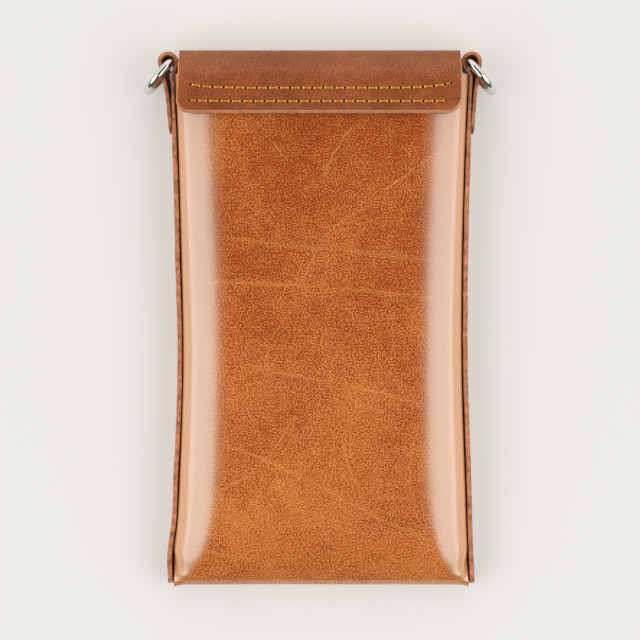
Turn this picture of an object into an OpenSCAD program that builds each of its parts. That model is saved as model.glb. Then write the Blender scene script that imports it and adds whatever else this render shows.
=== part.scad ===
// Phone pouch of saddle leather with a fold-over magnetic flap and two D-rings, lying on its back.
// +X is to the right, +Y runs from the bottom crease to the flap fold, +Z points out of the front.

/* [Pouch] */
// Length from the bottom crease to the top of the flap fold
pouch_len = 187; // [165:1:210]
// Width of the front panel at its waist
waist_w = 97.6; // [88:0.2:110]
// Width of the front panel at the bottom crease
foot_w = 102.8; // [90:0.2:116]
// Width of the front panel at the mouth
mouth_w = 102; // [90:0.2:114]
// Distance of the waist from the bottom crease
waist_up = 85; // [70:1:100]
// Distance of the front panel's mouth from the top of the flap fold
mouth_down = 8.6; // [8:0.1:12]
// Height of the front panel's flat middle above the back
front_h = 20.3; // [18:0.1:25]

/* [Leather] */
// Thickness of the panels and the flap
leather = 1.5; // [1.2:0.1:1.8]
// Thickness of the gussets and their straps
gusset_t = 1.6; // [1.2:0.1:2]
// Gap between a panel's turned edge and its gusset
seam_gap = 0.5; // [0.3:0.05:0.8]
// Depth of the turned-in margin that is sewn to the gusset
margin = 4.5; // [3:0.1:6]

/* [Pillow shape] */
// Width of the front panel's rounded shoulder
shoulder_w = 18; // [12:0.5:24]
// Fall of the shoulder from the flat middle to the seam
crown = 6.8; // [5:0.1:8]
// Fall of the shoulder at the mouth, where the front is flatter
mouth_crown = 5.2; // [4:0.1:7]
// Radius of the back panel's rolled sides
back_roll = 2.8; // [2.4:0.1:4]
// Length over which the front sinks to the bottom crease
sink_len = 42; // [30:1:60]
// Height of the front panel where it turns down at the bottom crease
foot_h = 9; // [8:0.1:12]
// Radius of the bottom crease at the back
heel_r = 4; // [2.5:0.1:5]
// How far the raw corners of the bottom crease stand out
corner_ear = 0.6; // [0.3:0.1:1]
// Width of each raw corner
ear_w = 4; // [3:0.5:6]
// Width of the raw edge that is left of the margin at the foot and at the fold
raw_edge = 0.4; // [0.3:0.1:0.8]
// Width of the back's shoulder where the fold has made it flat
flat_shoulder = 3; // [2:0.1:4]
// Length over which the back gains its rolled sides at the foot
back_gain = 12; // [8:0.5:16]
// Length over which the back loses its rolled sides at the mouth
back_loss = 7; // [5:0.5:9]

/* [Gussets] */
// How far the gusset's raw edges stand above the seam line
gusset_proud = 0.8; // [0.3:0.1:1.2]
// How far the gusset's foot stands above the bottom crease
gusset_lift = 0.7; // [0.3:0.1:1.5]
// Length over which the gusset narrows to the strap, below the mouth
neck_len = 4; // [3:0.5:8]

/* [Flap] */
// Length of the flap over the front, from the top of its fold
flap_reach = 22.8; // [20:0.1:26]
// How much narrower the flap's fold is than the mouth
fold_in = 4; // [3:0.1:12]
// How much wider the flap is at its tip than at its fold
tip_flare = 1.2; // [0:0.1:2]
// Radius of the flap's two corners
flap_corner = 4.9; // [3:0.1:8]
// Slant of the raw cut at the flap's tip
tip_slant = 1.3; // [0.5:0.1:1.5]
// How far the hand-sewn flap sits off the middle
flap_shift = -0.6; // [-0.6:0.1:0.6]
// Gap between the facing and the front panel when closed
flap_clear = 0.3; // [0.3:0.05:0.8]
// Gap between the flap's leather segments at a bending line
bend_gap = 0.3; // [0.2:0.05:0.5]
// Thickness of the facings under the flap and inside the mouth
facing_t = 1.2; // [1:0.1:1.6]
// Distance of the flap facing's edge from the flap's edge
facing_inset = 1; // [0.5:0.1:2]

/* [Magnets] */
// Length of each bar magnet
magnet_len = 20; // [12:1:26]
// Width of each bar magnet, which lies between the two rows of thread
magnet_w = 3.6; // [3:0.1:4.4]
// Thickness of each bar magnet
magnet_t = 0.8; // [0.5:0.1:0.9]
// Distance of each magnet from the front's rounded shoulder, measured at the mouth
magnet_in = 1; // [1:0.5:6]
// Distance of the magnets' middle from the flap's tip
magnet_up = 6.5; // [5:0.1:8]
// Clearance around a magnet in its pocket
magnet_clear = 0.1; // [0.05:0.05:0.2]
// Depth of the facing inside the mouth
mouth_facing_h = 17; // [14:0.5:22]

/* [Thread] */
// Thickness of the thread
thread_d = 0.5; // [0.3:0.05:0.8]
// Distance from one stitch to the next
stitch_pitch = 3.9; // [3:0.1:5]
// Bare leather between two stitches, where the thread goes down
stitch_bare = 0.6; // [0.4:0.1:1]
// Distance of the lower row from the flap's tip
row_low = 4.1; // [3.5:0.1:4.2]
// Distance of the upper row from the flap's tip
row_high = 8.8; // [8.8:0.1:9.5]
// Distance of the rows' ends from the flap's sides
row_inset = 4; // [3:0.5:8]
// How far the upper row's ends rise above its middle
row_rise = 1.3; // [0:0.1:1.4]

/* [Straps and rings] */
// Width of the strap that carries the ring
strap_w = 11.6; // [9:0.2:12]
// Height of the strap's middle above the back
strap_z = 9.4; // [9.4:0.1:10.5]
// Distance of the loop's middle from the line of the mouth's side, before the flap's shift
loop_side = 1.95; // [1.95:0.05:4]
// Distance of the loop's middle from the top of the flap fold
loop_down = 4.25; // [4.2:0.05:7]
// Radius of the loop's inside
loop_r = 2.4; // [2.2:0.05:2.4]
// Thickness of the strap where it is skived to go round the bar
loop_t = 1.2; // [0.9:0.05:1.2]
// Play between the ring's bar and the leather that it leans on
bar_play = 0.15; // [0.15:0.05:0.3]
// How far down from straight inwards the bar leans in its loop, as an angle
bar_lean = 22; // [0:1:40]
// Distance of the strap's tail tip from the top of the flap fold
tail_down = 29; // [24:0.5:36]
// Thickness of the tail's thinned tip
tail_tip_t = 0.9; // [0.6:0.1:1.4]
// Rounding of the tail's tip
tail_round = 4; // [2:0.5:5]
// Distance from the tail's tip up to the end of the slot, over which the tail lies on the gusset
slot_up = 14; // [8:0.5:15]
// Wire diameter of the ring
wire_d = 2.9; // [2.4:0.1:3.2]
// Gap between the strap's edges and the ring's arms
ring_gap = 0.2; // [0.2:0.05:0.5]
// Height of the ring over everything, from its bar to the top of its bow
ring_h = 15.5; // [13:0.5:20]
// Bend radius of the ring's corners, at the wire's middle
ring_corner = 2.2; // [1.8:0.1:3]
// Angle of the ring from straight out to the side, down towards the pouch's foot
ring_rest = 49; // [20:1:60]

/* [Hidden] */

// Colours of the materials
front_tan = "#b5652f";
flap_tan = "#9a5a3c";
gusset_tan = "#a5623c";
facing_tan = "#c08a5c";
nickel = "#b9bcc0";
chrome_grey = "#d8dadd";
thread_ochre = "#d9932f";

// Places along the pouch
y_foot = (corner_ear - pouch_len) / 2;
y_top = y_foot + pouch_len;
y_mouth = y_top - mouth_down;
y_waist = y_foot + waist_up;
y_sink = y_foot + sink_len;
y_tip = y_top - flap_reach;

// Widths of the flap at its fold and at its tip
fold_w = mouth_w - fold_in;
tip_w = fold_w + tip_flare;

// Distance of each magnet's middle from the pouch's middle
magnet_off = mouth_w / 2 - shoulder_w - magnet_in - magnet_len / 2;

// The flap goes round a half circle from the back's surface to its own top surface
flap_under = front_h + flap_clear + facing_t;
fold_r = (flap_under + leather) / 2;
y_fold = y_top - fold_r;

// Bending lines of the flap, as angles round the half circle from the back's surface
bend_low = 45;
bend_high = 135;
// The gap at a bending line, as an angle at the fold's outer surface
bend_angle = bend_gap / fold_r * 180 / PI;

// The foot section stays almost flat: its turning angle, against a full turn at the sides
foot_turn = 25;
side_turn = 90;
quarter = 90;
// Cuts run this far past the solids that they cut
overrun = 1;

// Counts of steps across a shoulder and along each stretch of the sheets
shoulder_steps = 6;
straight_rows = 9;
sink_rows = 7;
crease_rows = 5;
heel_rows = 4;
gain_rows = 4;
back_rows = 12;
loss_rows = 4;
fold_rows = 4;
// Counts of steps along the gusset's edges, round the loop and round a corner
edge_rows = 22;
arc_steps = 20;
corner_steps = 8;
// Facets of the round shapes
fold_facets = 96;
loop_facets = 48;
wire_facets = 32;
bend_facets = 64;
thread_facets = 24;
// Angle round the sinking front at which the bottom fold begins
crease_at = 62;

function mix(a, b, t) = a + (b - a) * t;
function share(x) = max(0, min(1, x));
function unit(v) = v / norm(v);
function smooth(t) = t * t * (3 - 2 * t);

// Half the width of the panels at a place along the pouch: a waist between a wider foot and mouth
function half_w(y) = y < y_waist
    ? waist_w / 2 + (foot_w - waist_w) / 2 * pow((y_waist - y) / waist_up, 2)
    : waist_w / 2 + (mouth_w - waist_w) / 2 * pow((y - y_waist) / (y_mouth - y_waist), 2);

// How far the front has risen from the foot, as a share that follows a quarter ellipse
function rise(y) = let (t = share((y_sink - y) / sink_len)) sqrt(1 - t * t);
function front_z(y) = mix(foot_h, front_h, rise(y));
function crown_at(y) = mix(crown, mouth_crown, share((y - y_waist) / (y_mouth - y_waist)));
function front_fall(y) = mix(-corner_ear, crown_at(y), rise(y));

// A station of the main strip: its middle point, its inward direction, half width, shoulder width,
// fall of the shoulder, turning angle, margin and sideways shift
function station(y, z, inward, w, a, fall, turn, m, shift = 0) =
    [y, z, inward[0], inward[1], w, a, fall, turn, m, shift];

function front_station(y) = station(
    y, front_h, [0, -1], half_w(y), shoulder_w, crown_at(y), side_turn, margin);

// The sinking front, by its angle round the quarter ellipse
function sink_station(phi) = let (
    e = cos(phi),
    y = y_foot + sink_len * (1 - sin(phi)),
    drop = front_h - foot_h,
    inward = unit([drop * sin(phi), -sink_len * e])
) station(
    y, mix(foot_h, front_h, e), inward, half_w(y),
    mix(ear_w, shoulder_w, e), mix(-corner_ear, crown_at(y), e),
    mix(foot_turn, side_turn, e), mix(raw_edge, margin, e));

// The bottom crease: straight down, then round the heel to the back, where the corners lie flat
function crease_station() = station(
    y_foot, foot_h, [1, 0], half_w(y_foot), ear_w, -corner_ear, foot_turn, raw_edge);
function heel_station(t) = station(
    y_foot + heel_r * (1 - cos(t)), heel_r * (1 - sin(t)), [cos(t), sin(t)],
    half_w(y_foot), ear_w, -corner_ear * cos(t), foot_turn, raw_edge);

// The back: rolled sides between the foot and the mouth, flat and narrower towards the fold
function back_station(y) = let (
    gain = smooth(share((y - y_foot - heel_r) / back_gain)),
    loss = smooth(share((y - y_mouth + back_loss) / back_loss)),
    e = gain * (1 - loss)
) station(
    y, 0, [0, 1], mix(half_w(y), fold_w / 2, loss),
    mix(mix(ear_w, back_roll, gain), flat_shoulder, loss),
    back_roll * gain * (1 - loss),
    mix(foot_turn, side_turn, e), mix(raw_edge, margin, e), flap_shift * loss);

// The start of the fold, by its angle round the half circle
function fold_station(t) = station(
    y_fold + fold_r * sin(t), fold_r * (1 - cos(t)), [-sin(t), cos(t)],
    fold_w / 2, flat_shoulder, 0, foot_turn, raw_edge, flap_shift);

// One half of a section, from the middle to the raw edge, as [sideways, inwards, direction]
function half_section(s) = let (
    w = s[4], a = s[5], fall = s[6], turn = s[7], m = s[8],
    along = function (t) unit([a * cos(t) / sin(turn), fall * sin(t) / (1 - cos(turn))]),
    last = along(turn),
    flat = w - a - m * last[0]
) concat(
    [[0, 0, [1, 0]], [flat, 0, [1, 0]]],
    [for (i = [1:shoulder_steps]) let (t = turn * i / shoulder_steps)
        [flat + a * sin(t) / sin(turn), fall * (1 - cos(t)) / (1 - cos(turn)), along(t)]],
    [[w, fall + m * last[1], last]]);

function place(s, x, depth) = [s[9] + x, s[0] + s[2] * depth, s[1] + s[3] * depth];

// The closed ring of points round a section: outer face left to right, inner face back again
function section_ring(s) = let (
    half = half_section(s),
    n = len(half) - 1,
    outer = [for (i = [-n:n]) let (p = half[abs(i)]) [sign(i) * p[0], p[1]]],
    inner = [for (i = [-n:n]) let (p = half[abs(i)])
        [sign(i) * (p[0] - leather * p[2][1]), p[1] + leather * p[2][0]]]
) concat(
    [for (p = outer) place(s, p[0], p[1])],
    [for (i = [len(inner) - 1:-1:0]) place(s, inner[i][0], inner[i][1])]);

// Leather sheet through a row of stations
module sheet(stations) {
    rings = [for (s = stations) section_ring(s)];
    n = len(rings[0]);
    rows = len(rings);
    walls = [for (r = [0:rows - 2], i = [0:n - 1]) let (
        p = r * n + i,
        q = r * n + (i + 1) % n
    ) each [[p, q, q + n], [p, q + n, p + n]]];
    caps = [for (i = [0:n / 2 - 2]) let (j = n - 1 - i) each [
        [i, j, j - 1], [i, j - 1, i + 1],
        [(rows - 1) * n + i, (rows - 1) * n + j - 1, (rows - 1) * n + j],
        [(rows - 1) * n + i, (rows - 1) * n + i + 1, (rows - 1) * n + j - 1]
    ]];
    polyhedron(points = [for (r = rings) each r], faces = concat(walls, caps));
}

// Draws a shape of [along Y, along Z] points and extrudes it along X, centred
module across(w) {
    translate([-w / 2, 0, 0]) rotate([90, 0, 90]) linear_extrude(w) children();
}

module front_panel() {
    color(front_tan) sheet(concat(
        [for (i = [0:straight_rows - 1]) front_station(mix(y_mouth, y_sink, i / straight_rows))],
        [for (i = [0:sink_rows]) sink_station(crease_at * i / sink_rows)]));
}

module bottom_fold() {
    color(front_tan) sheet(concat(
        [for (i = [0:crease_rows - 1]) sink_station(mix(crease_at, quarter, i / crease_rows))],
        [crease_station()],
        [for (i = [0:heel_rows]) heel_station(quarter * i / heel_rows)]));
}

module back_panel() {
    y_heel = y_foot + heel_r;
    y_loss = y_mouth - back_loss;
    color(front_tan) sheet(concat(
        [for (i = [0:gain_rows - 1]) back_station(y_heel + back_gain * i / gain_rows)],
        [for (i = [0:back_rows - 1]) back_station(mix(y_heel + back_gain, y_loss, i / back_rows))],
        [for (i = [0:loss_rows - 1]) back_station(mix(y_loss, y_fold, i / loss_rows))],
        [for (i = [0:fold_rows]) fold_station(mix(0, bend_low - bend_angle / 2, i / fold_rows))]));
}

// Outline of the fold between two angles round its half circle
module fold_outline(from, to) {
    intersection() {
        translate([y_fold, fold_r]) difference() {
            circle(fold_r, $fn = fold_facets);
            circle(fold_r - leather, $fn = fold_facets);
        }
        polygon(concat(
            [[y_fold, fold_r]],
            [for (i = [0:fold_rows]) let (t = mix(from, to, i / fold_rows), r = fold_r * 2)
                [y_fold + r * sin(t), fold_r - r * cos(t)]]));
    }
}

// Outline of the flap seen from the front, drawn in by an inset
function flap_half(y) = mix(tip_w, fold_w, (y - y_tip) / flap_reach) / 2;
module flap_outline(inset = 0) {
    tip = y_tip + inset;
    r = flap_corner - inset;
    w = flap_half(y_tip + flap_corner) - inset;
    corner = [for (i = [0:corner_steps]) let (t = quarter * i / corner_steps)
        [w - r + r * sin(t), tip + r - r * cos(t)]];
    right = concat(corner, [[fold_w / 2 - inset, y_top + overrun]]);
    polygon(concat(right, [for (i = [len(right) - 1:-1:0]) [-right[i][0], right[i][1]]]));
}

module flap_fold() {
    color(flap_tan) translate([flap_shift, 0, 0]) across(fold_w)
        fold_outline(bend_low + bend_angle / 2, bend_high - bend_angle / 2);
}

module flap() {
    color(flap_tan) translate([flap_shift, 0, 0]) intersection() {
        across(tip_w + overrun) {
            fold_outline(bend_high + bend_angle / 2, 180);
            polygon([
                [y_fold, flap_under], [y_fold, flap_under + leather],
                [y_tip + tip_slant, flap_under + leather], [y_tip, flap_under]
            ]);
        }
        linear_extrude(fold_r * 2 + overrun) flap_outline();
    }
}

// Two bar magnets side by side, grown by a clearance for their pockets
module magnet_pair(z, grow = 0) {
    for (side = [-1, 1])
        translate([side * magnet_off - magnet_len / 2 - grow,
                   y_tip + magnet_up - magnet_w / 2 - grow, z - grow])
            cube([magnet_len + 2 * grow, magnet_w + 2 * grow, magnet_t + 2 * grow]);
}

// A row of stitches along the flap, whose ends rise above its long level middle
row_half = flap_half(y_tip) - row_inset;
module stitch_row(up, ends_rise) {
    count = floor(2 * row_half / stitch_pitch);
    step = 2 * row_half / count;
    y_at = function (x) y_tip + up + ends_rise * pow(x / row_half, 6);
    for (i = [0:count - 1]) {
        x = step * i - row_half;
        length = step - stitch_bare;
        lean = atan((y_at(x + step) - y_at(x)) / step);
        translate([flap_shift + x + stitch_bare / 2, y_at(x + stitch_bare / 2), flap_under + leather])
            rotate([0, 0, lean]) rotate([90, 0, 90]) linear_extrude(length) intersection() {
                circle(thread_d / 2, $fn = thread_facets);
                translate([-thread_d, 0]) square([2 * thread_d, thread_d]);
            }
    }
}
module upper_stitches() {
    color(thread_ochre) stitch_row(row_high, row_rise);
}
module lower_stitches() {
    color(thread_ochre) stitch_row(row_low, 0);
}

// The flap's magnets lie against the flap's underside, in pockets skived into the facing
flap_magnet_z = flap_under - magnet_t;
module flap_facing() {
    color(facing_tan) translate([flap_shift, 0, 0]) difference() {
        intersection() {
            translate([-tip_w / 2, y_tip, flap_under - facing_t])
                cube([tip_w, y_fold - y_tip - facing_inset, facing_t]);
            linear_extrude(flap_under + overrun) flap_outline(facing_inset);
        }
        translate([-flap_shift, 0, 0]) magnet_pair(flap_magnet_z, magnet_clear);
    }
}
module flap_magnets() {
    color(nickel) magnet_pair(flap_magnet_z);
}

// The mouth facing lies behind the flat middle of the front panel
mouth_facing_z = front_h - leather - facing_t;
mouth_facing_w = 2 * (half_w(y_mouth - mouth_facing_h) - shoulder_w) - 2 * facing_inset;
mouth_magnet_z = front_h - leather - magnet_t;
module mouth_facing() {
    color(facing_tan) difference() {
        translate([-mouth_facing_w / 2, y_mouth - facing_inset - mouth_facing_h, mouth_facing_z])
            cube([mouth_facing_w, mouth_facing_h, facing_t]);
        magnet_pair(mouth_magnet_z, magnet_clear);
    }
}
module mouth_magnets() {
    color(nickel) magnet_pair(mouth_magnet_z);
}

// The gusset's faces in plan, and its raw edges in side view
function gusset_in(y) = half_w(y) + seam_gap;
function gusset_out(y) = gusset_in(y) + gusset_t;
function gusset_front_z(y) = front_z(y) - front_fall(y) + gusset_proud * rise(y);
function gusset_back_z(y) = back_roll - gusset_proud * rise(y);

y_gusset = y_foot + gusset_lift;
y_neck = y_mouth - seam_gap;
y_loop = y_top - loop_down;
// The loops stand off the flap's fold, so they are shifted with it, on side 1 or -1
function loop_off(side) = mouth_w / 2 + loop_side + side * flap_shift;
y_tail = y_top - tail_down;
loop_out = loop_r + loop_t;

// Angle at which a line from a point touches a circle round a middle, on its one or other side
function touch(p, middle, r, turn) = let (d = p - middle)
    atan2(d[1], d[0]) + turn * acos(r / norm(d));

// Plan of the strap: up from the gusset, round the ring's bar and down outside as the tail
module strap_plan(side) {
    eye = [loop_off(side), y_loop];
    neck = [gusset_in(y_neck), y_neck];
    neck_out = [gusset_out(y_neck), y_neck];
    tip = [gusset_out(y_tail) + tail_tip_t, y_tail];
    slot_end = [gusset_out(y_tail + slot_up), y_tail + slot_up];
    knee = slot_end + [loop_t, 0];
    from = touch(neck, eye, loop_out, -1);
    to = touch(knee, eye, loop_out, 1) - 360;
    foot = [(gusset_in(y_tail) + gusset_out(y_tail)) / 2, y_tail];
    arc = [for (i = [0:arc_steps]) let (a = mix(from, to, i / arc_steps))
        eye + loop_out * [cos(a), sin(a)]];
    difference() {
        polygon(concat([foot, (neck + neck_out) / 2, neck], arc, [knee, tip]));
        translate(eye) circle(loop_r, $fn = loop_facets);
        polygon([
            eye + loop_r * [cos(from), sin(from)], neck_out, slot_end, eye + loop_r * [cos(to), sin(to)]
        ]);
    }
}

// Side view of the strap: straight edges and a rounded tail
module strap_side() {
    half = strap_w / 2;
    r = tail_round;
    tail = [for (side = [-1, 1], i = [0:corner_steps]) let (
        t = side < 0 ? quarter * (1 - i / corner_steps) : quarter * i / corner_steps
    ) [y_tail + r - r * cos(t), strap_z + side * (half - r + r * sin(t))]];
    polygon(concat(tail, [
        [y_loop + loop_out + overrun, strap_z + half],
        [y_loop + loop_out + overrun, strap_z - half]
    ]));
}

module gusset_plan() {
    ys = [for (i = [0:edge_rows]) mix(y_gusset, y_neck, i / edge_rows)];
    polygon(concat(
        [for (y = ys) [gusset_in(y), y]],
        [for (i = [edge_rows:-1:0]) [gusset_out(ys[i]), ys[i]]]));
}

module gusset_side() {
    y_wide = y_neck - neck_len;
    ys = [for (i = [0:edge_rows]) mix(y_gusset, y_wide, 1 - cos(quarter * i / edge_rows))];
    polygon(concat(
        [for (y = ys) [y, gusset_back_z(y)]],
        [[y_neck, strap_z - strap_w / 2], [y_neck, strap_z + strap_w / 2]],
        [for (i = [edge_rows:-1:0]) [ys[i], gusset_front_z(ys[i])]]));
}

// The gusset of side 1 or -1 with its strap, loop and tail, drawn on the right
module gusset(side) {
    reach = loop_off(side) + loop_out + overrun;
    intersection() {
        linear_extrude(front_h) gusset_plan();
        across(2 * reach) gusset_side();
    }
    intersection() {
        translate([0, 0, strap_z - strap_w / 2]) linear_extrude(strap_w) strap_plan(side);
        across(2 * reach) strap_side();
    }
}

module right_gusset() {
    color(gusset_tan) gusset(1);
}
module left_gusset() {
    color(gusset_tan) mirror([1, 0, 0]) gusset(-1);
}

// D-ring in its own plane: its bar along Z through the origin, its bow towards +X
ring_half = strap_w / 2 + ring_gap + wire_d / 2;
ring_arm = ring_h - wire_d - ring_half;
module wire_bend(r, angle) {
    rotate_extrude(angle = angle, $fn = bend_facets)
        translate([r, 0]) circle(wire_d / 2, $fn = wire_facets);
}
module d_ring() {
    translate([0, 0, ring_corner - ring_half])
        cylinder(d = wire_d, h = 2 * (ring_half - ring_corner), $fn = wire_facets);
    for (side = [-1, 1]) {
        translate([ring_corner, 0, side * (ring_half - ring_corner)])
            rotate([side * 90, 0, 0]) rotate([0, 0, 90]) wire_bend(ring_corner, 90);
        translate([ring_corner, 0, side * ring_half]) rotate([0, 90, 0])
            cylinder(d = wire_d, h = ring_arm - ring_corner, $fn = wire_facets);
    }
    translate([ring_arm, 0, 0]) rotate([90, 0, 0]) rotate([0, 0, -90]) wire_bend(ring_half, 180);
}

// The bar leans inwards and down in its loop
bar_reach = loop_r - wire_d / 2 - bar_play;
y_bar = y_loop - bar_reach * sin(bar_lean);
function bar_off(side) = loop_off(side) - bar_reach * cos(bar_lean);
module right_ring() {
    color(chrome_grey) translate([bar_off(1), y_bar, strap_z]) rotate([0, 0, -ring_rest]) d_ring();
}
module left_ring() {
    color(chrome_grey) mirror([1, 0, 0])
        translate([bar_off(-1), y_bar, strap_z]) rotate([0, 0, -ring_rest]) d_ring();
}

front_panel();
bottom_fold();
back_panel();
left_gusset();
right_gusset();
flap_fold();
flap();
flap_facing();
flap_magnets();
mouth_facing();
mouth_magnets();
left_ring();
right_ring();
upper_stitches();
lower_stitches();
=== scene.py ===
"""Phone pouch of saddle leather with a fold-over flap and two D-rings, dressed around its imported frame.

Lengths are in metres. The pouch lies on its back: +X is to the right, +Y runs to the flap's fold and +Z
points out of the front.
"""

import math

import bmesh
import bpy
from mathutils import Matrix, Vector, noise


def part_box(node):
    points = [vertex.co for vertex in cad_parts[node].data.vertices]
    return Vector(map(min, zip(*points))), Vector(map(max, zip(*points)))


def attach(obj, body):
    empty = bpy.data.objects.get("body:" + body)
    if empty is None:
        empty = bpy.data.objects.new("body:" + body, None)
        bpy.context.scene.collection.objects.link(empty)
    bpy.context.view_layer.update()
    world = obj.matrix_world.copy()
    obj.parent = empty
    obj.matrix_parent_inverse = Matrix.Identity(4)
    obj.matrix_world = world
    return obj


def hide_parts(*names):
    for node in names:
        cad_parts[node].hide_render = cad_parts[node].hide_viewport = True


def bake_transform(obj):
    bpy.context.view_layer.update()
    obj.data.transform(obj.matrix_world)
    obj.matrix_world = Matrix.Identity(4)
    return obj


bl_info = {
    "name": "Leather Phone Pouch",
    "version": (1, 0, 0),
    "blender": (4, 5, 0),
    "location": "3D View > Sidebar > Phone Pouch",
    "description": "Builds the leather, thread and rings of a phone pouch around its frame",
    "category": "Add Mesh",
}

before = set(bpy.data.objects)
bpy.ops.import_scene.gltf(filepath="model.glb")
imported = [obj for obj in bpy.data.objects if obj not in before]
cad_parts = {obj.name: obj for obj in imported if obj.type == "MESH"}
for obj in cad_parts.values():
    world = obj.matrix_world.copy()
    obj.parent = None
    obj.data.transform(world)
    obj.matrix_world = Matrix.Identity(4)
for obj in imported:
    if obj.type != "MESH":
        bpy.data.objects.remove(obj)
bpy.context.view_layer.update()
MM = 0.001

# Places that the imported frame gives
FRONT_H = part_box("front_panel")[1].z
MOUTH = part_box("front_panel")[1].y
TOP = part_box("flap_fold")[1].y
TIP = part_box("flap")[0].y
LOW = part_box("bottom_fold")[0].y
FOLD_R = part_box("flap")[1].z / 2
FOLD_Y = TOP - FOLD_R


def linear(code):
    """An sRGB hex colour as linear red, green, blue and alpha."""
    parts = [int(code[i:i + 2], 16) / 255 for i in (1, 3, 5)]
    return [c / 12.92 if c < 0.04045 else ((c + 0.055) / 1.055) ** 2.4 for c in parts] + [1.0]


def share(x):
    return max(0.0, min(1.0, x))


def mix(a, b, t):
    return a + (b - a) * t


def smooth(t):
    t = share(t)
    return t * t * (3 - 2 * t)


def wander(x, y, seed, size):
    """Smooth unevenness from -1 to 1 at a place, whose swells are about size apart."""
    return noise.noise(Vector((x / size, y / size, seed)))


# Sizes and colours that a user may change

def length(name, default, description):
    return bpy.props.FloatProperty(
        name=name, description=description, default=default, min=0.0, precision=5, unit="LENGTH"
    )


def angle(name, degrees, description):
    return bpy.props.FloatProperty(
        name=name, description=description, default=math.radians(degrees), subtype="ANGLE"
    )


def colour(name, code, description):
    return bpy.props.FloatVectorProperty(
        name=name, description=description, default=linear(code)[:3], size=3, min=0.0, max=1.0,
        subtype="COLOR",
    )


class PouchSizes(bpy.types.PropertyGroup):
    """Sizes of the pouch, which match those of its frame."""

    leather: length("Leather", 1.5 * MM, "Thickness of the panels and the flap")
    gusset: length("Gusset", 1.6 * MM, "Thickness of the gussets and straps")
    seam_gap: length("Seam gap", 0.5 * MM, "Gap between a turned edge and its gusset")
    margin: length("Margin", 4.5 * MM, "Depth of the turned-in margin")
    waist_width: length("Waist", 97.6 * MM, "Width of the front at its waist")
    foot_width: length("Foot", 102.8 * MM, "Width of the front at the bottom crease")
    mouth_width: length("Mouth", 102 * MM, "Width of the front at the mouth")
    waist_up: length("Waist height", 85 * MM, "Distance of the waist from the bottom crease")
    shoulder: length("Shoulder", 18 * MM, "Width of the front's rounded shoulder")
    crown: length("Crown", 6.8 * MM, "Fall of the shoulder to the seam")
    mouth_crown: length("Mouth crown", 5.2 * MM, "Fall of the shoulder at the mouth")
    back_roll: length("Back roll", 2.8 * MM, "Radius of the back's rolled sides")
    sink: length("Sink", 42 * MM, "Length over which the front sinks to the bottom crease")
    foot_height: length("Foot height", 9 * MM, "Height at which the front turns down")
    heel: length("Heel", 4 * MM, "Radius of the bottom crease at the back")
    ear: length("Ear", 0.6 * MM, "How far the raw corners stand out")
    ear_width: length("Ear width", 4 * MM, "Width of each raw corner")
    fold_width: length("Fold width", 98 * MM, "Width of the flap at its fold")
    tip_width: length("Tip width", 99.2 * MM, "Width of the flap at its tip")
    flap_corner: length("Flap corner", 4.9 * MM, "Radius of the flap's corners")
    tip_slant: length("Tip slant", 1.0 * MM, "Slant of the raw cut at the flap's tip")
    facing: length("Facing", 1.2 * MM, "Thickness of the facings")
    thread: length("Thread", 0.8 * MM, "Thickness of the thread")
    strap_width: length("Strap", 11.6 * MM, "Width of the ring's strap")
    strap_height: length("Strap height", 9.4 * MM, "Height of the strap's middle above the back")
    flap_shift: length("Flap shift", 0.6 * MM, "How far the flap is sewn to the left of the middle")
    loop_side: length("Loop place", 1.95 * MM, "Distance of the loop's middle from the mouth's side")
    loop_down: length("Loop drop", 4.25 * MM, "Distance of the loop's middle from the fold's top")
    loop_radius: length("Loop radius", 2.4 * MM, "Radius of the loop's inside")
    loop_leather: length("Loop leather", 1.2 * MM, "Thickness of the strap round the bar")
    bar_play: length("Bar play", 0.15 * MM, "Play between the ring's bar and its loop")
    bar_lean: angle("Bar lean", 22, "Angle down from straight inwards at which the bar leans in its loop")
    tail_down: length("Tail", 29 * MM, "Distance of the tail's tip from the fold's top")
    tail_lies: length("Tail on gusset", 14 * MM, "Length over which the tail lies on the gusset")
    wire: length("Wire", 2.9 * MM, "Wire diameter of the rings")
    ring_height: length("Ring height", 15.5 * MM, "Height of the ring over its bar and bow")
    ring_corner: length("Ring corner", 2.2 * MM, "Bend radius of the ring's corners")
    ring_rest: angle("Ring rest", 49, "Angle of the rings from straight out, down towards the foot")


class PouchColours(bpy.types.PropertyGroup):
    """Colours of the leather, thread and stage."""

    front_ground: colour("Front", "#C45508", "Ground of the front's leather")
    front_dark: colour("Front grain", "#8A3100", "Dark grain of the front's leather")
    front_light: colour("Front light", "#EC964C", "Light grain of the front's leather")
    front_crease: colour("Front creases", "#EC9448", "Natural creases of the front's leather")
    # The turn and bend tones are partly the pull-up leather's own paleness and partly a painted highlight and
    # painted side light of the side soft boxes
    front_turning_and_highlight: colour("Front turn", "#C48C58", "Front's leather where it begins to turn down")
    front_pulled_and_highlight: colour("Front bend", "#EBB084", "Front's leather where it is bent and its wax drawn out")
    flap_ground: colour("Flap", "#99502A", "Ground of the flap's leather")
    flap_dark: colour("Flap grain", "#70321A", "Dark grain of the flap's leather")
    flap_light: colour("Flap light", "#BB6E44", "Light grain of the flap's leather")
    gusset_ground: colour("Gusset", "#9E5B3A", "Ground of the gusset's leather")
    cut: colour("Cut edge", "#D8966A", "Freshly cut edge of the leather")
    worn_cut: colour("Worn edge", "#BC7A56", "Rubbed, stained edge of the gussets")
    flesh: colour("Flesh side", "#BC8458", "Unfinished inside of the leather")
    thread: colour("Thread", "#E0902A", "Waxed thread")
    # The drawn-thread tone is a painted highlight at each stitch's ends, beside the holes
    thread_end_highlight: colour("Drawn thread", "#FFCB62", "Waxed thread where it is drawn tight beside a hole")
    floor: colour("Floor", "#EDEAE5", "Paper that the pouch lies on")


# Shape of the main strip, the same as in the frame

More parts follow.
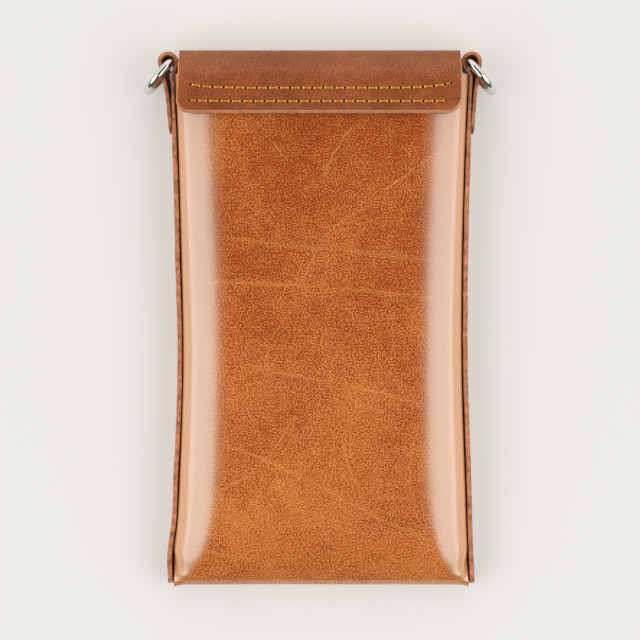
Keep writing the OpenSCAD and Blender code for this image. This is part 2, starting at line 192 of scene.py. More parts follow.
# Rows of the strip: down the front and its sinking end, at the foot, round the heel, up the back and the fold
FRONT_ROWS, SINK_ROWS, FOOT_ROWS, HEEL_ROWS, BACK_ROWS, RISE_ROWS = 84, 34, 6, 9, 100, 20
# Degrees by which the sides turn down where they are sewn and where they end raw, and the raw sides' margin
SEWN_TURN, RAW_TURN, RAW_MARGIN = 90, 25, 0.4 * MM
# Width of the fold's sides, which aren't turned down
FOLD_SIDE = 3 * MM
# Lengths over which the back's sides begin to roll above the heel and stop rolling below the mouth
ROLL_START, ROLL_END = 12 * MM, 7 * MM
# Shares of the front's rise at which its shoulders begin to widen and its sides are fully turned down
WIDENING_SHARE, TURNED_SHARE = 0.38, 0.7
# Swells of each side's seam in mm: how far out it strays, where along the pouch and over which length
SWAYS = {-1: ((0.9, -83, 9), (-0.65, -15, 28)), 1: ((0.5, -55, 30),)}


def foot(p):
    return LOW + p.ear


def half_width(p, y):
    """Half the width of the panels at a place along the pouch."""
    waist = foot(p) + p.waist_up
    if y < waist:
        return p.waist_width / 2 + (p.foot_width - p.waist_width) / 2 * ((waist - y) / p.waist_up) ** 2
    return p.waist_width / 2 + (p.mouth_width - p.waist_width) / 2 * ((y - waist) / (MOUTH - waist)) ** 2


def sway(y, side):
    """How far the hand-sewn seam of side -1 or 1 strays outwards from its even curve."""
    return sum(out * math.exp(-((y / MM - place) / size) ** 2) for out, place, size in SWAYS[side]) * MM


def rise(p, y):
    """How far the front has risen from the foot, along a quarter ellipse."""
    t = share((foot(p) + p.sink - y) / p.sink)
    return math.sqrt(1 - t * t)


def crown_at(p, y):
    waist = foot(p) + p.waist_up
    return mix(p.crown, p.mouth_crown, share((y - waist) / (MOUTH - waist)))


def fall_at(p, y, e):
    """Fall of the front's surface from its middle to the seam, where it has risen by the share e."""
    return mix(-p.ear, crown_at(p, y), math.sin(math.pi / 2 * e) ** 1.7)


def station(y, z, inward, half, shoulder, fall, turn, margin, shift=0.0):
    """A row of the strip: its middle, its way inwards, half its width and how its side is turned down."""
    size = math.hypot(*inward)
    return y, z, inward[0] / size, inward[1] / size, half, shoulder, fall, math.radians(turn), margin, shift


def strip_stations(p):
    """Stations of the main strip from the mouth down the front, round the bottom and up to the fold's top."""
    low = foot(p)
    foot_half = half_width(p, low)
    made = []
    for i in range(FRONT_ROWS):
        y = mix(MOUTH, low + p.sink, i / FRONT_ROWS)
        made.append(station(
            y, FRONT_H, (0, -1), half_width(p, y), p.shoulder, crown_at(p, y), SEWN_TURN, p.margin))
    for i in range(SINK_ROWS):
        a = math.radians(90 * i / SINK_ROWS)
        e, y = math.cos(a), low + p.sink * (1 - math.sin(a))
        widened = share((e - WIDENING_SHARE) / (1 - WIDENING_SHARE)) ** 0.8
        made.append(station(
            y, mix(p.foot_height, FRONT_H, e), ((FRONT_H - p.foot_height) * math.sin(a), -p.sink * e),
            half_width(p, y), mix(p.ear_width, p.shoulder, widened), fall_at(p, y, e),
            mix(RAW_TURN, SEWN_TURN, smooth(e / TURNED_SHARE)), mix(RAW_MARGIN, p.margin, e)))
    for i in range(FOOT_ROWS):
        made.append(station(
            low, mix(p.foot_height, p.heel, i / FOOT_ROWS), (1, 0),
            foot_half, p.ear_width, -p.ear, RAW_TURN, RAW_MARGIN))
    for i in range(HEEL_ROWS):
        a = math.radians(90 * i / HEEL_ROWS)
        made.append(station(
            low + p.heel * (1 - math.cos(a)), p.heel * (1 - math.sin(a)), (math.cos(a), math.sin(a)),
            foot_half, p.ear_width, -p.ear * math.cos(a), RAW_TURN, RAW_MARGIN))
    for i in range(BACK_ROWS):
        y = mix(low + p.heel, FOLD_Y, (i + 1) / BACK_ROWS)
        gain = smooth((y - low - p.heel) / ROLL_START)
        loss = smooth((y - MOUTH + ROLL_END) / ROLL_END)
        e = gain * (1 - loss)
        side = mix(mix(p.ear_width, p.back_roll, gain), FOLD_SIDE, loss)
        made.append(station(
            y, 0, (0, 1), mix(half_width(p, y), p.fold_width / 2, loss), side, p.back_roll * e,
            mix(RAW_TURN, SEWN_TURN, e), mix(RAW_MARGIN, p.margin, e), -p.flap_shift * loss))
    for i in range(RISE_ROWS):
        a = math.radians(90 * (i + 1) / RISE_ROWS)
        made.append(station(
            FOLD_Y + FOLD_R * math.sin(a), FOLD_R * (1 - math.cos(a)), (-math.sin(a), math.cos(a)),
            p.fold_width / 2, FOLD_SIDE, 0, RAW_TURN, RAW_MARGIN, -p.flap_shift))
    return made


def strip_run(stations):
    """Distance of each station from the mouth along the leather."""
    run = [0.0]
    for a, b in zip(stations, stations[1:]):
        run.append(run[-1] + math.hypot(b[0] - a[0], b[1] - a[1]))
    return run


# Columns of half the strip over its flat middle, its shoulder and its margin
FLAT_COLUMNS, SHOULDER_COLUMNS, MARGIN_COLUMNS = 17, 14, 3
HALF_COLUMNS = FLAT_COLUMNS + SHOULDER_COLUMNS + MARGIN_COLUMNS


def section(s):
    """Half a section of the strip, from its middle to its raw edge.

    Each point is (sideways, inwards, direction, unrolled distance from the middle).
    """
    half, shoulder, fall, turn, margin = s[4:9]

    def along(t):
        v = (shoulder * math.cos(t) / math.sin(turn), fall * math.sin(t) / (1 - math.cos(turn)))
        size = math.hypot(*v)
        return v[0] / size, v[1] / size

    last = along(turn)
    flat = half - shoulder - margin * last[0]
    made = [(flat * i / FLAT_COLUMNS, 0.0, (1.0, 0.0)) for i in range(FLAT_COLUMNS + 1)]
    for i in range(1, SHOULDER_COLUMNS + 1):
        t = turn * i / SHOULDER_COLUMNS
        made.append((
            flat + shoulder * math.sin(t) / math.sin(turn),
            fall * (1 - math.cos(t)) / (1 - math.cos(turn)), along(t)))
    x, depth, _ = made[-1]
    for i in range(1, MARGIN_COLUMNS + 1):
        m = margin * i / MARGIN_COLUMNS
        made.append((x + m * last[0], depth + m * last[1], last))
    unrolled = [0.0]
    for a, b in zip(made, made[1:]):
        unrolled.append(unrolled[-1] + math.hypot(b[0] - a[0], b[1] - a[1]))
    return [(*point, run) for point, run in zip(made, unrolled)]


def leather_sheet(name, columns, rows, surface, edge_round, materials):
    """A leather sheet: a grid on its outer face, grown into its inner face, with rounded raw edges.

    surface(column, row) gives the outer point, the inner point, the place on the unrolled leather and the
    sine of the angle to which it is turned down there.
    """
    bm = bmesh.new()
    bend = bm.verts.layers.float.new("bend")
    column = bm.verts.layers.int.new("column")
    row = bm.verts.layers.int.new("row")
    unrolled = bm.loops.layers.uv.new("Unrolled")
    bmesh.ops.create_grid(bm, x_segments=columns, y_segments=rows, size=1)
    for v in bm.verts:
        v[column] = round((v.co.x + 1) / 2 * columns)
        v[row] = round((v.co.y + 1) / 2 * rows)
    grown = bmesh.ops.extrude_face_region(bm, geom=bm.faces[:], use_keep_orig=True)
    outer = {v for v in grown["geom"] if isinstance(v, bmesh.types.BMVert)}
    flat = {}
    for v in bm.verts:
        face, back, place, v[bend] = surface(v[column], v[row])
        v.co = face if v in outer else back
        flat[v] = place
    for f in bm.faces:
        count = sum(v in outer for v in f.verts)
        f.material_index = 0 if count == len(f.verts) else 1 if count == 0 else 2
        for loop in f.loops:
            loop[unrolled].uv = flat[loop.vert]
    bmesh.ops.recalc_face_normals(bm, faces=bm.faces[:])
    rim = [e for e in bm.edges if len({f.material_index for f in e.link_faces}) > 1]
    bmesh.ops.bevel(
        bm, geom=rim, offset=edge_round, offset_type="OFFSET", segments=2, affect="EDGES",
        profile=0.5, material=-1, clamp_overlap=True)
    return finished(name, bm, materials)


# Angle from which an edge is kept sharp
SHARP = math.radians(60)
# Rounding of the raw edges of the strip, the flap, the facings and the gussets
STRIP_ROUND, FLAP_ROUND, FACING_ROUND, GUSSET_ROUND = 0.12 * MM, 0.1 * MM, 0.12 * MM, 0.16 * MM


def finished(name, bm, materials):
    """Turns a bmesh into an object at the origin, smooth but for its sharp edges."""
    for e in bm.edges:
        e.smooth = e.calc_face_angle(0.0) < SHARP
    for f in bm.faces:
        f.smooth = True
    mesh = bpy.data.meshes.new(name)
    bm.to_mesh(mesh)
    bm.free()
    piece = bpy.data.objects.new(name, mesh)
    bpy.context.scene.collection.objects.link(piece)
    for material in materials:
        mesh.materials.append(bpy.data.materials[material])
    return piece


# Materials

def put(tree, kind, inputs=None, **settings):
    """Adds a node with its settings, and its inputs' values or links. A node stands for its first output."""
    made = tree.nodes.new("ShaderNode" + kind)
    for key, value in settings.items():
        setattr(made, key, value)
    for key, value in (inputs or {}).items():
        if isinstance(value, bpy.types.Node):
            value = value.outputs[0]
        if isinstance(value, bpy.types.NodeSocket):
            tree.links.new(value, made.inputs[key])
        else:
            made.inputs[key].default_value = value
    return made


def begin(name):
    """A new material's node tree, still empty."""
    material = bpy.data.materials.new(name)
    material.use_nodes = True
    material.node_tree.nodes.clear()
    return material.node_tree


def end(tree, shader):
    """Sends a material's shader to its output."""
    put(tree, "OutputMaterial", {"Surface": shader})


def ramp(tree, factor, stops):
    """A colour ramp through (position, colour) stops."""
    made = put(tree, "ValToRGB", {"Fac": factor})
    band = made.color_ramp
    while len(band.elements) > 1:
        band.elements.remove(band.elements[-1])
    for i, (position, shade) in enumerate(stops):
        element = band.elements[0] if i == 0 else band.elements.new(position)
        element.position = position
        element.color = shade if len(shade) == 4 else [*shade, 1.0]
    return made


# Places of a leather's dark, ground and light tones in its colour ramp
TONES = (0.0, 0.5, 1.0)


def glazed_leather(name, tones, turning_and_highlight, pulled_and_highlight, coat, fleck, creased=None, over=None):
    """Vegetable-tanned saddle leather, waxed: a mottled grain under a clear shine, paler where it is bent,
    partly its own pull-up and partly a painted highlight.

    tones are its dark, ground and light colours, and over holds those where it is drawn over the fold.
    """
    tree = begin(name)
    flat = put(tree, "UVMap", uv_map="Unrolled")
    mm = put(tree, "VectorMath", {0: flat, 1: (1000, 1000, 1000)}, operation="MULTIPLY")
    # Grain of about 0.5 mm, hair cells of about 1.1 mm, mottling of 4 mm and clouds of 40 mm
    grain = put(tree, "TexNoise", {"Vector": mm, "Scale": 2.0, "Detail": 1.0, "Roughness": 0.6})
    cells = put(tree, "TexVoronoi", {"Vector": mm, "Scale": 0.9}, feature="SMOOTH_F1")
    mottle = put(tree, "TexNoise", {"Vector": mm, "Scale": 0.24, "Detail": 3.0})
    clouds = put(tree, "TexNoise", {"Vector": mm, "Scale": 0.025, "Detail": 2.0})
    speck = put(tree, "MapRange", {
        "Value": grain, "From Min": 0.4, "From Max": 0.6, "To Min": -fleck / 2, "To Max": fleck / 2})
    # The grain is stretched and fades where the leather begins to turn down
    turned = put(tree, "Attribute", attribute_name="bend").outputs["Fac"]
    slack = put(tree, "MapRange", {
        "Value": turned, "From Min": 0.08, "From Max": 0.3, "To Min": 1.0, "To Max": 0.35})
    speck = put(tree, "Math", {0: speck, 1: slack}, operation="MULTIPLY")
    factor = put(tree, "Math", {0: mottle, 1: 0.6, 2: speck}, operation="MULTIPLY_ADD")
    factor = put(tree, "Math", {0: clouds, 1: 1.0, 2: factor}, operation="MULTIPLY_ADD")
    even = put(tree, "Math", {0: factor, 1: 0.3}, operation="SUBTRACT")
    factor = even
    if creased:
        # The front is painted darker towards the mouth and lighter towards the bottom: a painted shade
        # gradient
        run = put(tree, "SeparateXYZ", {0: flat}).outputs["Y"]
        mouth_shade = put(tree, "MapRange", {
            "Value": run, "From Min": 0.02, "From Max": 0.17, "To Min": -0.15, "To Max": 0.2})
        factor = put(tree, "Math", {0: factor, 1: mouth_shade}, operation="ADD")
    tone = ramp(tree, factor, zip(TONES, tones))
    height = put(tree, "Math", {0: cells, 1: 0.5, 2: grain}, operation="MULTIPLY_ADD")
    if creased:
        lines = crease_lines(tree, mm, grain)
        tone = put(tree, "MixRGB", {"Fac": lines, "Color1": tone, "Color2": [*creased, 1.0]})
        # The back turns browner towards the fold, over which the leather is drawn
        drawn = put(tree, "MapRange", {"Value": run, "From Min": 0.3, "From Max": 0.36})
        brown = ramp(tree, even, zip(TONES, over))
        tone = put(tree, "MixRGB", {"Fac": drawn, "Color1": tone, "Color2": brown})
        height = put(tree, "Math", {0: lines, 1: 1.2, 2: height}, operation="MULTIPLY_ADD")
    # It pales where it begins to turn, and more where it is bent: partly the pull-up leather's own paleness,
    # partly a painted highlight and painted side light of the soft boxes on the shoulders
    begun_turn_and_highlight = put(tree, "MapRange", {"Value": turned, "From Min": 0.03, "From Max": 0.22, "To Max": 0.85})
    tone = put(tree, "MixRGB", {"Fac": begun_turn_and_highlight, "Color1": tone, "Color2": [*turning_and_highlight, 1.0]})
    bent = put(tree, "MapRange", {
        "Value": turned, "From Min": 0.3, "From Max": 0.6}, interpolation_type="SMOOTHSTEP")
    tone = put(tree, "MixRGB", {"Fac": bent, "Color1": tone, "Color2": [*pulled_and_highlight, 1.0]})
    if creased:
        # The rolled side gets a warmer pale tone: painted side light of the soft boxes on the turned-down rim
        rolled = [pulled_and_highlight[0], pulled_and_highlight[1] * 0.84, pulled_and_highlight[2] * 0.66]
        side = put(tree, "MapRange", {"Value": turned, "From Min": 0.6, "From Max": 0.85})
        tone = put(tree, "MixRGB", {"Fac": side, "Color1": tone, "Color2": [*rolled, 1.0]})
    bump = put(tree, "Bump", {"Height": height, "Strength": 0.35, "Distance": 0.00006})
    gloss = put(tree, "MapRange", {"Value": mottle, "To Min": 0.42, "To Max": 0.58})
    end(tree, put(tree, "BsdfPrincipled", {
        "Base Color": tone, "Roughness": gloss, "Normal": bump, "Specular IOR Level": 0.05,
        "Coat Weight": coat, "Coat Roughness": 0.2, "Coat IOR": 2.2}))


# Creases of the front in mm: place across and along the unrolled strip, tilt in degrees, reach, bow, width
# and strength
FRONT_CREASES = (
    (38.6, 29.0, 145, 7.9, 0.0, 0.43, 0.8),
    (27.1, 37.0, 145, 7.3, 0.0, 0.43, 0.75),
    (5.1, 26.5, 122, 12.6, 1.7, 0.51, 0.62),
    (-14.3, 27.1, 52, 4.3, -0.3, 0.43, 0.68),
    (7.8, 50.9, 147, 10.6, 1.7, 0.58, 0.54),
    (-4.0, 65.9, 113, 10.1, 0.9, 0.58, 0.62),
    (-11.9, 84.1, 122, 11.4, -0.7, 0.58, 0.47),
    (-19.1, 102.4, 87, 10.4, 1.6, 0.58, 0.47),
    (-15.2, 59.8, 6, 22.2, 1.2, 1.3, 0.41),
    (22.1, 63.3, 6, 20.9, 0.5, 1.3, 0.41),
    (-21.5, 73.1, 2, 29.1, -0.9, 0.87, 0.54),
    (22.3, 76.3, 7, 21.0, -0.7, 0.87, 0.47),
    (-12.4, 104.5, 11, 16.8, 0.4, 0.87, 0.62),
    (18.9, 110.6, 15, 19.5, -0.7, 0.87, 0.54),
    (3.1, 104.1, 96, 10.8, 3.3, 0.51, 0.54),
    (-16.6, 130.4, 127, 12.8, -1.6, 0.58, 0.8),
    (-30.1, 142.2, 152, 7.5, -0.7, 0.58, 0.68),
    (-18.9, 134.6, 23, 19.1, -0.9, 0.72, 0.8),
    (9.4, 148.8, 28, 17.1, -0.3, 0.72, 0.75),
    (31.5, 160.0, 22, 11.4, 0.3, 0.72, 0.62),
    (9.0, 135.0, 72, 12.0, 1.0, 0.58, 0.8),
    (30.5, 135.2, 95, 14.0, 2.1, 0.58, 0.54),
    (33.5, 154.8, 61, 7.1, 1.5, 0.58, 0.54),
    (24.3, 147.3, -1, 7.9, -1.2, 0.58, 0.54),
    (-31.9, 168.0, 12, 9.7, -0.5, 0.72, 0.75),
    (-7.7, 68.5, 108, 3.6, 0.1, 0.43, 0.54),
    (-25.1, 117.8, 56, 11.4, -2.0, 0.51, 0.41),
    (24.7, 89.4, 86, 11.7, -2.1, 0.51, 0.41),
)


def crease_lines(tree, mm, grain):
    """Mask of the front's natural creases: wavering veins, broken by the grain and faded at their ends."""
    stray = put(tree, "TexNoise", {"Vector": mm, "Scale": 0.3, "Detail": 4.0, "Roughness": 0.6})
    stray = put(tree, "VectorMath", {0: stray.outputs["Color"], 1: (0.5, 0.5, 0.5)}, operation="SUBTRACT")
    place = put(tree, "VectorMath", {0: stray, 1: (3, 3, 0), 2: mm}, operation="MULTIPLY_ADD")
    total = None
    for x, run, tilt, reach, bow, width, strength in FRONT_CREASES:
        local = put(tree, "Mapping", {
            "Vector": place, "Location": (x, run, 0), "Rotation": (0, 0, math.radians(tilt)),
            "Scale": (reach, width, 1)}, vector_type="TEXTURE")
        local = put(tree, "SeparateXYZ", {0: local}).outputs
        far = put(tree, "Math", {0: local["X"], 1: local["X"]}, operation="MULTIPLY")
        off = put(tree, "Math", {0: far, 1: bow / width, 2: local["Y"]}, operation="MULTIPLY_ADD")
        off = put(tree, "Math", {0: off, 1: off}, operation="MULTIPLY")
        off = put(tree, "Math", {0: far, 1: far, 2: off}, operation="MULTIPLY_ADD")
        one = put(tree, "MapRange", {"Value": off, "To Min": strength, "To Max": 0.0})
        total = one if total is None else put(tree, "Math", {0: total, 1: one}, operation="MAXIMUM")
    broken = put(tree, "MapRange", {
        "Value": grain, "From Min": 0.42, "From Max": 0.58, "To Min": 0.4, "To Max": 1.3})
    return put(tree, "Math", {0: total, 1: broken}, operation="MULTIPLY")


def cut_leather(name, ground, spread, depth):
    """Raw cut edge of leather: matt, with short fibres and stains."""
    tree = begin(name)
    place = put(tree, "TexCoord").outputs["Object"]
    # Fibres of about 0.3 mm and stains of 2 mm, at the real edge's scale
    fibres = put(tree, "TexNoise", {"Vector": place, "Scale": 2600.0, "Detail": 4.0, "Roughness": 0.7})
    stains = put(tree, "TexNoise", {"Vector": place, "Scale": 420.0, "Detail": 3.0})
    both = put(tree, "Math", {0: fibres, 1: 0.5}, operation="MULTIPLY")
    both = put(tree, "Math", {0: stains, 1: 0.5, 2: both}, operation="MULTIPLY_ADD")
    dark = [c * (1 - spread) for c in ground]
    light = [min(1.0, c * (1 + spread)) for c in ground]
    tone = ramp(tree, both, [(0.36, dark), (0.5, ground), (0.64, light)])
    bump = put(tree, "Bump", {"Height": both, "Strength": 0.6, "Distance": depth})
    end(tree, put(tree, "BsdfPrincipled", {
        "Base Color": tone, "Roughness": 0.8, "Normal": bump, "Specular IOR Level": 0.25}))


def waxed_thread(name, ground, drawn):
    """Waxed polyester thread: a dull sheen, with a pale painted highlight at each stitch's ends beside the
    awl holes.
    """
    tree = begin(name)
    pull = put(tree, "Attribute", attribute_name="pull").outputs["Fac"]
    place = put(tree, "TexCoord").outputs["Object"]
    fuzz = put(tree, "TexNoise", {"Vector": place, "Scale": 3000.0, "Detail": 2.0})
    deep = [c * 0.6 for c in ground]
    amount = put(tree, "Math", {0: fuzz, 1: 0.5, 2: pull}, operation="MULTIPLY_ADD")
    tone = ramp(tree, amount, [(0.1, deep), (0.35, ground), (0.9, drawn)])
    end(tree, put(tree, "BsdfPrincipled", {"Base Color": tone, "Roughness": 0.55, "Specular IOR Level": 0.3}))


def awl_hole_shade(name):
    """Painted shade inside a hole pricked by an awl: near-black brown and matt."""
    tree = begin(name)
    place = put(tree, "TexCoord").outputs["Object"]
    soot = put(tree, "TexNoise", {"Vector": place, "Scale": 2500.0})
    tone = ramp(tree, soot, [(0.3, linear("#120804")), (0.7, linear("#2A150C"))])
    end(tree, put(tree, "BsdfPrincipled", {"Base Color": tone, "Roughness": 0.9, "Specular IOR Level": 0.1}))


def plated_metal(name, dark, light, scale, detail, smoothest, roughest):
    """Plated metal: a mirror that fine marks break up."""
    tree = begin(name)
    place = put(tree, "TexCoord").outputs["Object"]
    marks = put(tree, "TexNoise", {"Vector": place, "Scale": scale, "Detail": detail})
    gloss = put(tree, "MapRange", {"Value": marks, "To Min": smoothest, "To Max": roughest})
    tone = ramp(tree, marks, [(0.3, linear(dark)), (0.7, linear(light))])
    end(tree, put(tree, "BsdfPrincipled", {"Base Color": tone, "Roughness": gloss, "Metallic": 1.0}))


def make_materials(c):
    front = (c.front_dark, c.front_ground, c.front_light)
    flap = (c.flap_dark, c.flap_ground, c.flap_light)
    gusset_light = [min(1.0, v * 1.25) for v in c.gusset_ground]
    gusset = ([v * 0.72 for v in c.gusset_ground], c.gusset_ground, gusset_light)
    # Cognac leather of the front, bottom and back, with a hard shine
    # Its turn and bend tones carry a painted highlight and painted side light on the shoulders
    glazed_leather(
        "Glazed_saddle_leather", front, c.front_turning_and_highlight, c.front_pulled_and_highlight, coat=0.9, fleck=1.0,
        creased=c.front_crease, over=flap)
    # Leather of the fold and the flap: browner and nearly without shine
    glazed_leather("Drawn_flap_leather", flap, c.flap_light, c.flap_light, coat=0.15, fleck=0.55)
    # Leather of the gussets and straps, nearly without shine
    glazed_leather("Gusset_leather", gusset, gusset_light, gusset_light, coat=0.06, fleck=0.6)
    # Fresh cut edges, the gussets' rubbed and stained edges, and the unfinished inside
    cut_leather("Cut_flap_edge", c.cut, 0.22, 0.00005)
    cut_leather("Rubbed_gusset_edge", c.worn_cut, 0.65, 0.0002)
    cut_leather("Leather_flesh_side", c.flesh, 0.16, 0.00008)
    waxed_thread("Waxed_thread", c.thread, c.thread_end_highlight)
    # Painted shade of the awl holes' insides
    awl_hole_shade("Awl_hole_shade")
    # Steel wire with bright chrome: a cool mirror with hair-fine polishing marks
    plated_metal("Chromed_steel_wire", "#D9DADB", "#E6E7E8", 900.0, 3.0, 0.06, 0.16)
    # Nickel-plated neodymium bars: a slightly warm, satin metal
    plated_metal("Nickelled_magnet", "#B4B2AD", "#C6C4BF", 500.0, 4.0, 0.22, 0.4)


class POUCH_OT_finishes(bpy.types.Operator):
    """Make the leathers, thread and metals"""

    bl_idname = "pouch.finishes"
    bl_label = "Materials"

    def execute(self, context):
        make_materials(context.scene.pouch_colours)
        return {"FINISHED"}


# Height and spread of the front's slight swells, and the length over which they begin at the mouth
SWELL, SWELL_SPREAD, SWELL_START = 0.12 * MM, 30 * MM, 20 * MM


class POUCH_OT_main_strip(bpy.types.Operator):
    """Make the strip that is the front, the bottom and the back, up to the top of the flap's fold"""

    bl_idname = "pouch.main_strip"
    bl_label = "Main strip"

    def execute(self, context):
        p = context.scene.pouch_sizes
        stations = strip_stations(p)
        sections = [section(s) for s in stations]
        run = strip_run(stations)

        def surface(column, row):
            y, z, in_y, in_z, *_, shift = stations[row]
            side = column - HALF_COLUMNS
            x, depth, along, unrolled = sections[row][abs(side)]
            sign = -1 if side < 0 else 1
            if row < FRONT_ROWS + SINK_ROWS and abs(side) <= FLAT_COLUMNS + SHOULDER_COLUMNS:
                uneven = SWELL * wander(sign * x, run[row], 3.0, SWELL_SPREAD)
                depth -= uneven * share(run[row] / SWELL_START)
            stray = sway(y, sign) * (abs(side) / HALF_COLUMNS) ** 2

            def at(across, down):
                return Vector((shift + sign * (across + stray), y + in_y * down, z + in_z * down))

            return (
                at(x, depth),
                at(x - p.leather * along[1], depth + p.leather * along[0]),
                (sign * unrolled, run[row]),
                along[1],
            )

        leathers = ["Glazed_saddle_leather", "Leather_flesh_side", "Cut_flap_edge", "Drawn_flap_leather"]
        strip = leather_sheet(
            "main_strip", 2 * HALF_COLUMNS, len(stations) - 1, surface, STRIP_ROUND, leathers)
        # Where it rises into the fold, the strip is as matt and brown as the flap
        for face in strip.data.polygons:
            if face.material_index == 0 and face.center.y > FOLD_Y and face.center.z < FOLD_R:
                face.material_index = leathers.index("Drawn_flap_leather")
        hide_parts("front_panel", "bottom_fold", "back_panel")
        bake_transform(strip)
        return {"FINISHED"}


# The flap, its rows of awl holes and its thread

# Each row's first hole, pitch, full stitches, short stitch at the start and at the end, height above the tip,
# and how far its left and right ends turn up
UPPER_ROW = (-45.3 * MM, 3.82 * MM, 23, 0.0, 2.2 * MM, 8.6 * MM, 1.2 * MM, 1.9 * MM)
LOWER_ROW = (-45.7 * MM, 3.91 * MM, 22, 2.6 * MM, 0.0, 4.0 * MM, 0.35 * MM, 0.35 * MM)
# How far the hand-pricked holes stray across and along the flap
STRAY_ACROSS, STRAY_ALONG = 0.1 * MM, 0.12 * MM


def row_holes(row):
    """Places of a row's awl holes across the flap."""
    first, pitch, count, short_start, short_end, height, left_rise, right_rise = row
    xs = [first]
    if short_start:
        xs.append(xs[-1] + short_start)
    xs += [xs[-1] + pitch * (i + 1) for i in range(count)]
    if short_end:
        xs.append(xs[-1] + short_end)
    reach = max(abs(xs[0]), abs(xs[-1]))
    holes = []
    for x in xs:
        turned_up = (left_rise if x < 0 else right_rise) * abs(x / reach) ** 7
        y = TIP + height + turned_up + STRAY_ALONG * wander(x, height, 7.0, 4 * MM)
        holes.append((x + STRAY_ACROSS * wander(x, height, 11.0, 3 * MM), y))
    return holes


def flap_rows():
    return [row_holes(row) for row in (UPPER_ROW, LOWER_ROW)]


# Rows of the flap round its half of the fold, along its flat length and round its corners, and its columns
ARC_ROWS, FLAT_ROWS, CORNER_ROWS, FLAP_COLUMNS = 22, 26, 26, 320
# Share of the corner's rows in even steps along the flap, and how many radii such steps would pass in all
EVEN_SHARE, EVEN_STEP = 0.7, 1.25
# How far the raw cut slants inwards under the flap's face, and how much smaller it makes the corners there
CUT_SLANT, CORNER_SLANT = 0.55 * MM, 0.3 * MM
# How far the flap drifts to the left from its fold to its tip
TIP_DRIFT = 0.55 * MM
# How ragged the tip's cut is, and how high the flap's face swells
CUT_RAGGED, FLAP_SWELL = 0.1 * MM, 0.1 * MM
# How deep the thread draws the leather down at a hole and along a row, how wide, and where that ends
HOLE_DIP, HOLE_SPREAD, ROW_DIP, ROW_SPREAD, DIP_END = 0.14 * MM, 0.45 * MM, 0.07 * MM, 0.5 * MM, 1.5 * MM


def flap_half(p, y):
    return mix(p.tip_width, p.fold_width, (y - TIP) / (TOP - TIP)) / 2


def flap_row(p, row, inset, slant, corner):
    """Place along the flap and half width of a row beyond the arc, with rounded corners at the tip."""
    tip = TIP + slant
    if row <= FLAT_ROWS:
        y = mix(FOLD_Y, tip + corner, row / FLAT_ROWS)
        return y, flap_half(p, y) - inset
    # Even steps along the flap first, then along the corner's arc where it runs across
    step = (row - FLAT_ROWS) / CORNER_ROWS
    if step < EVEN_SHARE:
        a = math.asin(EVEN_STEP * step)
    else:
        a = mix(math.asin(EVEN_STEP * EVEN_SHARE), math.pi / 2, (step - EVEN_SHARE) / (1 - EVEN_SHARE))
    half = flap_half(p, TIP + corner) - inset - corner
    return tip + corner * (1 - math.sin(a)), half + corner * math.cos(a)


class POUCH_OT_flap(bpy.types.Operator):
    """Make the flap from the top of its fold to its raw cut tip, with dimples at the awl holes"""

    bl_idname = "pouch.flap"
    bl_label = "Flap"

    def execute(self, context):
        p = context.scene.pouch_sizes
        rows = flap_rows()
        top = 2 * FOLD_R
        sewn = strip_run(strip_stations(p))[-1] - FOLD_R * math.pi / 2

        def dimple(x, y):
            """Depth to which the thread draws the leather down beside a row."""
            depth = 0.0
            for holes in rows:
                near = min(holes, key=lambda h: abs(h[0] - x))
                if abs(near[1] - y) < DIP_END:
                    gap = math.hypot(near[0] - x, near[1] - y)
                    depth += HOLE_DIP * math.exp(-(gap / HOLE_SPREAD) ** 2)
                    if holes[0][0] < x < holes[-1][0]:
                        depth += ROW_DIP * math.exp(-((near[1] - y) / ROW_SPREAD) ** 2)
            return depth

        def surface(column, row):
            side = 2 * column / FLAP_COLUMNS - 1
            if row <= ARC_ROWS:
                a = math.radians(90 + 90 * row / ARC_ROWS)
                half = mix(p.fold_width / 2, flap_half(p, FOLD_Y), row / ARC_ROWS)
                x = side * half - p.flap_shift
                cut = side * CUT_SLANT * smooth(1.5 * row / ARC_ROWS)
                out = Vector((x - cut, FOLD_Y + FOLD_R * math.sin(a), FOLD_R * (1 - math.cos(a))))
                r = FOLD_R - p.leather
                inn = Vector((x, FOLD_Y + r * math.sin(a), FOLD_R - r * math.cos(a)))
                return out, inn, (x + p.flap_shift, sewn + FOLD_R * a), 0.0
            row -= ARC_ROWS
            y_out, half_out = flap_row(p, row, CUT_SLANT, p.tip_slant, p.flap_corner - CORNER_SLANT)
            y_in, half_in = flap_row(p, row, 0.0, 0.0, p.flap_corner)
            skew = -p.flap_shift - TIP_DRIFT * (FOLD_Y - y_in) / (FOLD_Y - TIP)
            x_out, x_in = side * half_out + skew, side * half_in + skew
            ragged = CUT_RAGGED * wander(side * half_in, 0, 5.0, 1.1 * MM)
            ragged *= share((row - FLAT_ROWS) / CORNER_ROWS)
            swell = FLAP_SWELL * wander(x_out, y_out, 9.0, 22 * MM) * share((FOLD_Y - y_out) / (5 * MM))
            return (
                Vector((x_out, y_out, top - dimple(x_out, y_out) + swell)),
                Vector((x_in, y_in - ragged, top - p.leather + swell)),
                (x_out + p.flap_shift, sewn + FOLD_R * math.pi + FOLD_Y - y_out),
                0.0,
            )

        flap = leather_sheet(
            "flap_leather", FLAP_COLUMNS, ARC_ROWS + FLAT_ROWS + CORNER_ROWS, surface, FLAP_ROUND,
            ["Drawn_flap_leather", "Leather_flesh_side", "Cut_flap_edge"])
        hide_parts("flap_fold", "flap")
        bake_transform(flap)
        return {"FINISHED"}


# A stitch in thread thicknesses: how far its two plies stand out, their turn in radians from end to end, its
# thickness and its height at the ends and in the middle
PLY, PLY_TURN, END_THICK, MIDDLE_THICK, END_HEIGHT, MIDDLE_HEIGHT = 0.16, 9.0, 1.1, 0.85, -0.55, 0.25


